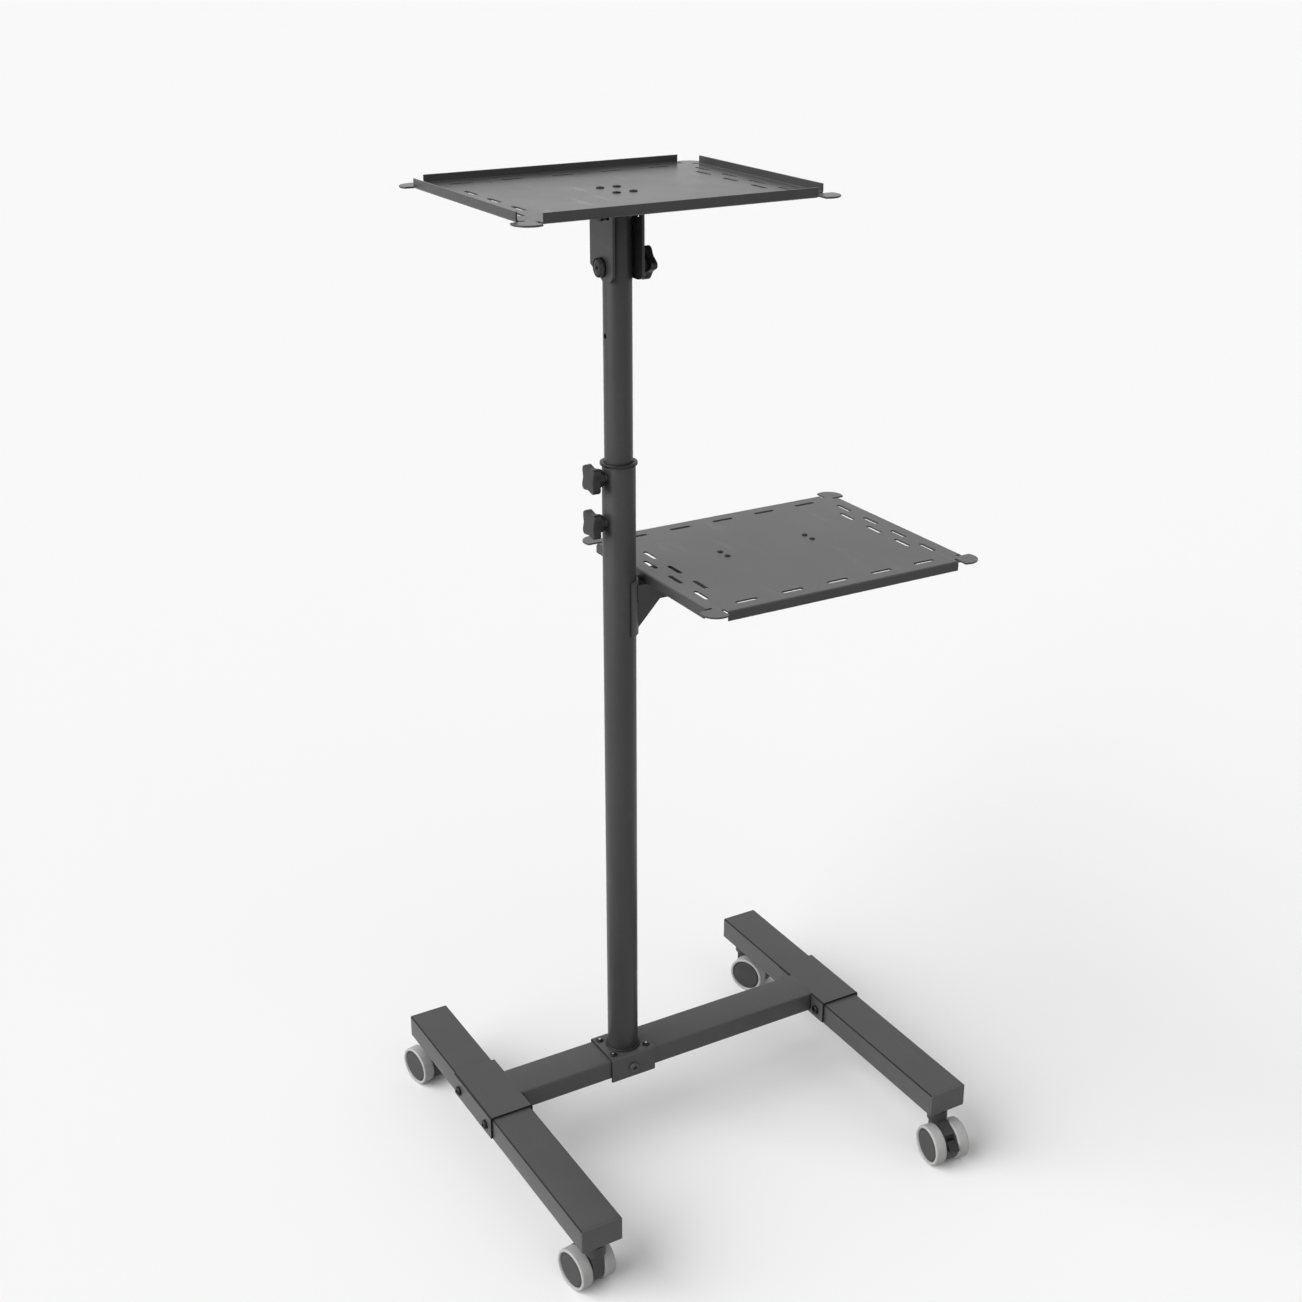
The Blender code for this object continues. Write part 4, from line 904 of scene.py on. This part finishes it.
class STAND_OT_casters(StandOperator, bpy.types.Operator):
    """Four twin-wheel casters with plates, hoods, tyres and discs, and two brake pedals"""

    bl_idname = "stand.casters"
    bl_label = "Casters"

    def build(self, sizes):
        hood_edge, pedal_edge, sharp = 0.0009, 0.0006, 45.0
        for corner in corners:
            refined("hood_" + corner, "caster_hood_" + corner, "caster_plastic",
                    hood_edge, sharp)
            self.plate(corner)
            for side in ("a", "b"):
                self.wheel(sizes, corner + "_" + side)
        for corner in ("front_left", "front_right"):
            refined("pedal_" + corner, "brake_pedal_" + corner, "black_plastic",
                    pedal_edge, sharp)
        keep(["caster_axle_" + corner for corner in corners], "zinc_steel")

    def plate(self, corner):
        """A round plate under the leg, with the ball race's ring below it."""
        node = "caster_plate_" + corner
        _, high, middle = measured(node)
        top = high.z
        flange, under, soft = 0.0160, 0.0010, 0.0005
        neck, race, race_soft = 0.0142, 0.0135, 0.0007
        thick, step, groove, depth = 0.0030, 0.0032, 0.0036, 0.0060
        profile = [(0, top), *quarter((flange - soft, top - soft), soft, 90, 0, 2),
                   *quarter((flange - under, top - thick + under), under, 0, -90, 3),
                   (neck, top - step), (race, top - groove),
                   *quarter((race - race_soft, top - depth + race_soft), race_soft, 0, -90, 2),
                   (0, top - depth)]
        bm = put(turned(profile, 64), (middle.x, middle.y, 0))
        piece("plate_" + corner, bm, "base", "matte_black", (node,))

    def wheel(self, sizes, name):
        """A tyre and its dished disc, on one side of the axle."""
        joint = joints["wheel_spin_" + name]
        way = Vector(joint["axis"]) * (1 if name.endswith("a") else -1)
        turn = Vector((0, 0, 1)).rotation_difference(way).to_matrix().to_4x4()
        place = Matrix.Translation(joint["pos_m"]) @ turn
        low, wide, radius, wall = 0.00865, 0.0148, 0.025, 0.0037
        high = low + wide
        shapes = (
            ("tyre_ring_", "tyre_", "tyre", "tyre", 60.0,
             self.tyre_profile(low, high, radius, radius - wall)),
            ("disc_", "hub_", "disc_plastic", "caster_plastic", 35.0,
             self.disc_profile(low, high, radius - wall)))
        for title, node, finish, slot, sharp, profile in shapes:
            bm = turned(profile, sizes.round_steps)
            bmesh.ops.transform(bm, matrix=place, verts=bm.verts)
            piece(title + name, bm, "wheel_" + name, finish, (node + name,), sharp=sharp)

    def tyre_profile(self, low, high, radius, inside):
        """A tyre with a rounded tread and a chamfer beside the disc."""
        curve, chamfer = 0.0017, 0.0006
        return [(inside, low), *quarter((radius - curve, low + curve), curve, -90, 0, 5),
                *quarter((radius - curve, high - curve), curve, 0, 90, 5),
                (inside + chamfer, high), (inside, high - chamfer)]

    def disc_profile(self, low, high, inside):
        """A disc with a narrow step at its rim, a soft ridge and a shallow dish."""
        gap, sunk, step, ledge = 0.0003, 0.0012, 0.0010, 0.0015
        foot, soft, drop, dish, slope = 0.0019, 0.0004, 0.0002, 0.0003, 0.55
        outer, face = inside - gap, high - sunk
        return [(0, low), (outer, low), (outer, face - step), (outer - ledge, face - step),
                (outer - foot, face - dish),
                *quarter((outer - foot - soft, face - soft), soft, 0, 90, 3),
                (outer * slope, face - drop), (0, face - dish)]


class STAND_OT_welds(StandOperator, bpy.types.Operator):
    """Weld beads at the mast's foot and the crossbeam's ends"""

    bl_idname = "stand.welds"
    bl_label = "Weld beads"

    def build(self, sizes):
        self.foot_bead(sizes.weld)
        low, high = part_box("crossbeam")
        for side, x in (("left", low.x), ("right", high.x)):
            self.end_beads(sizes, side, x, low, high)

    def foot_bead(self, size):
        """A bead round the mast, with the small even waves that a welder leaves."""
        middle = measured("upper_tube")[2]
        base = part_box("foot_bracket")[1].z
        inside, crown = lower_radius - 0.0005, size * 0.2
        profile = [(inside, base), (lower_radius + size, base),
                   *quarter((lower_radius + crown, base + crown), size * 0.72, 15, 75, 3),
                   (inside, base + size)]
        bm = turned(profile, 96)
        waves, swell, hidden = 24, 0.010, lower_radius - 0.0002
        for vertex in bm.verts:
            if math.hypot(vertex.co.x, vertex.co.y) > hidden:
                angle = math.atan2(vertex.co.y, vertex.co.x)
                grown = 1 + swell * math.sin(angle * waves)
                vertex.co.x *= grown
                vertex.co.y *= grown
        bm = put(bm, (middle.x, middle.y, 0))
        piece("weld_foot", bm, "base", "weld", sharp=80.0)

    def end_beads(self, sizes, side, x, low, high):
        """One bead that fills the groove on top, ground flush, and one at each side wall."""
        way = 1 if side == "left" else -1
        self.top_bead(sizes, side, x, way, low, high)
        size = sizes.weld * 0.5
        proud, edge, foot, head = size * 0.6, size * 0.4, 0.003, 0.002
        for end, y, out in (("front", low.y, -1), ("rear", high.y, 1)):
            across, along = sorted((x, x + way * size)), sorted((y, y + out * proud))
            bm = block((across[0], along[0], low.z + foot), (across[1], along[1], high.z - head))
            piece("weld_" + end + "_" + side, bm, "base", "weld", edge=edge)

    def top_bead(self, sizes, side, x, way, low, high):
        """Fills the groove between the crossbeam's end and the bend of the sleeve."""
        overlap, lap, depth, below = 0.0004, 0.0012, 0.004, 0.00002
        inset, radius = sizes.tube_corner * 0.4, sizes.tube_corner * 0.6
        across = sorted((x - way * (sizes.bend + overlap), x + way * lap))
        bm = block((across[0], low.y + inset, high.z - depth),
                   (across[1], high.y - inset, high.z - below))
        round_edges(bm, running(bm, X, high.z), radius, 3)
        piece("weld_top_" + side, bm, "base", "powder_coat")


class STAND_OT_stage(StandOperator, bpy.types.Operator):
    """A pale floor, soft lights and the camera"""

    bl_idname = "stand.stage"
    bl_label = "Stage"

    def build(self, sizes):
        scene = bpy.context.scene
        stage = scene.stand_stage
        scene.view_settings.view_transform = "Standard"
        self.floor(stage)
        self.world(stage)
        self.light("key_light", stage.key, 70, (60, 0, -97))
        self.light("fill_light", stage.fill, 60, (50, 0, 0))
        camera = bpy.data.objects.new("camera", bpy.data.cameras.new("camera"))
        scene.collection.objects.link(camera)
        camera.data.lens = stage.lens
        camera.location = stage.camera_place
        camera.rotation_euler = (stage.camera_tilt, 0, stage.camera_turn)
        scene.camera = camera

    def floor(self, stage):
        """A wide plane with hardly any pattern, which throws back less light than it shows."""
        bm = bmesh.new()
        bmesh.ops.create_grid(bm, x_segments=1, y_segments=1, size=30)
        mesh = bpy.data.meshes.new("floor")
        bm.to_mesh(mesh)
        bm.free()
        pale, bounce = tuple(stage.backdrop), tuple(stage.bounce)
        material, finish, shader = surface("pale_floor", pale, 0.9, gloss=0.0)
        shown = finish.mixed(finish.noise(0.6, 2.0), shade(pale, 0.995), pale)
        finish.dress(shader, Base_Color=finish.mixed(finish.seen(), bounce, shown))
        mesh.materials.append(material)
        floor = bpy.data.objects.new("floor", mesh)
        bpy.context.scene.collection.objects.link(floor)

    def world(self, stage):
        """An even light, which the camera and reflections see as the pale background."""
        world = bpy.data.worlds.new("studio")
        world.use_nodes = True
        world.node_tree.nodes.clear()
        finish = Finish(world.node_tree)
        kind = "ShaderNodeBackground"
        even = finish.node(kind, None, {"Color": (1.0, 1.0, 1.0), "Strength": stage.ambient})
        pale = finish.node(kind, None, {"Color": tuple(stage.backdrop), "Strength": 1.0})
        both = finish.node("ShaderNodeMixShader", None, {0: finish.seen(), 1: even, 2: pale})
        target = world.node_tree.nodes.new("ShaderNodeOutputWorld")
        finish.feed(target.inputs["Surface"], both)
        bpy.context.scene.world = world

    def light(self, name, strength, spread, turn):
        """A sun with a wide disc; its spread and turn are in degrees."""
        lamp = bpy.data.lights.new(name, "SUN")
        lamp.energy = strength
        lamp.angle = math.radians(spread)
        item = bpy.data.objects.new(name, lamp)
        item.rotation_euler = [math.radians(angle) for angle in turn]
        bpy.context.scene.collection.objects.link(item)


builders = (
    STAND_OT_legs, STAND_OT_sleeves, STAND_OT_base_bolts, STAND_OT_foot, STAND_OT_mast,
    STAND_OT_knobs, STAND_OT_tilt_head, STAND_OT_trays, STAND_OT_arm, STAND_OT_casters,
    STAND_OT_welds, STAND_OT_stage)


class STAND_PT_panel(bpy.types.Panel):
    """Lists the stand's settings and operators"""

    bl_idname = "STAND_PT_panel"
    bl_label = "Projector stand"
    bl_space_type = "VIEW_3D"
    bl_region_type = "UI"
    bl_category = "Stand"

    def draw(self, context):
        scene = context.scene
        for group in (scene.stand_sizes, scene.stand_looks, scene.stand_stage):
            column = self.layout.column()
            for name in group.__annotations__:
                column.prop(group, name)
        for builder in builders:
            self.layout.operator(builder.bl_idname)


groups = {"stand_sizes": StandSizes, "stand_looks": StandLooks, "stand_stage": StandStage}


def register():
    for item in (*groups.values(), *builders, STAND_PT_panel):
        bpy.utils.register_class(item)
    for name, group in groups.items():
        setattr(bpy.types.Scene, name, PointerProperty(type=group))


def unregister():
    for name in groups:
        delattr(bpy.types.Scene, name)
    for item in reversed((*groups.values(), *builders, STAND_PT_panel)):
        bpy.utils.unregister_class(item)


def main():
    register()
    for builder in builders:
        group, name = builder.bl_idname.split(".")
        getattr(getattr(bpy.ops, group), name)()


if __name__ == "__main__":
    main()
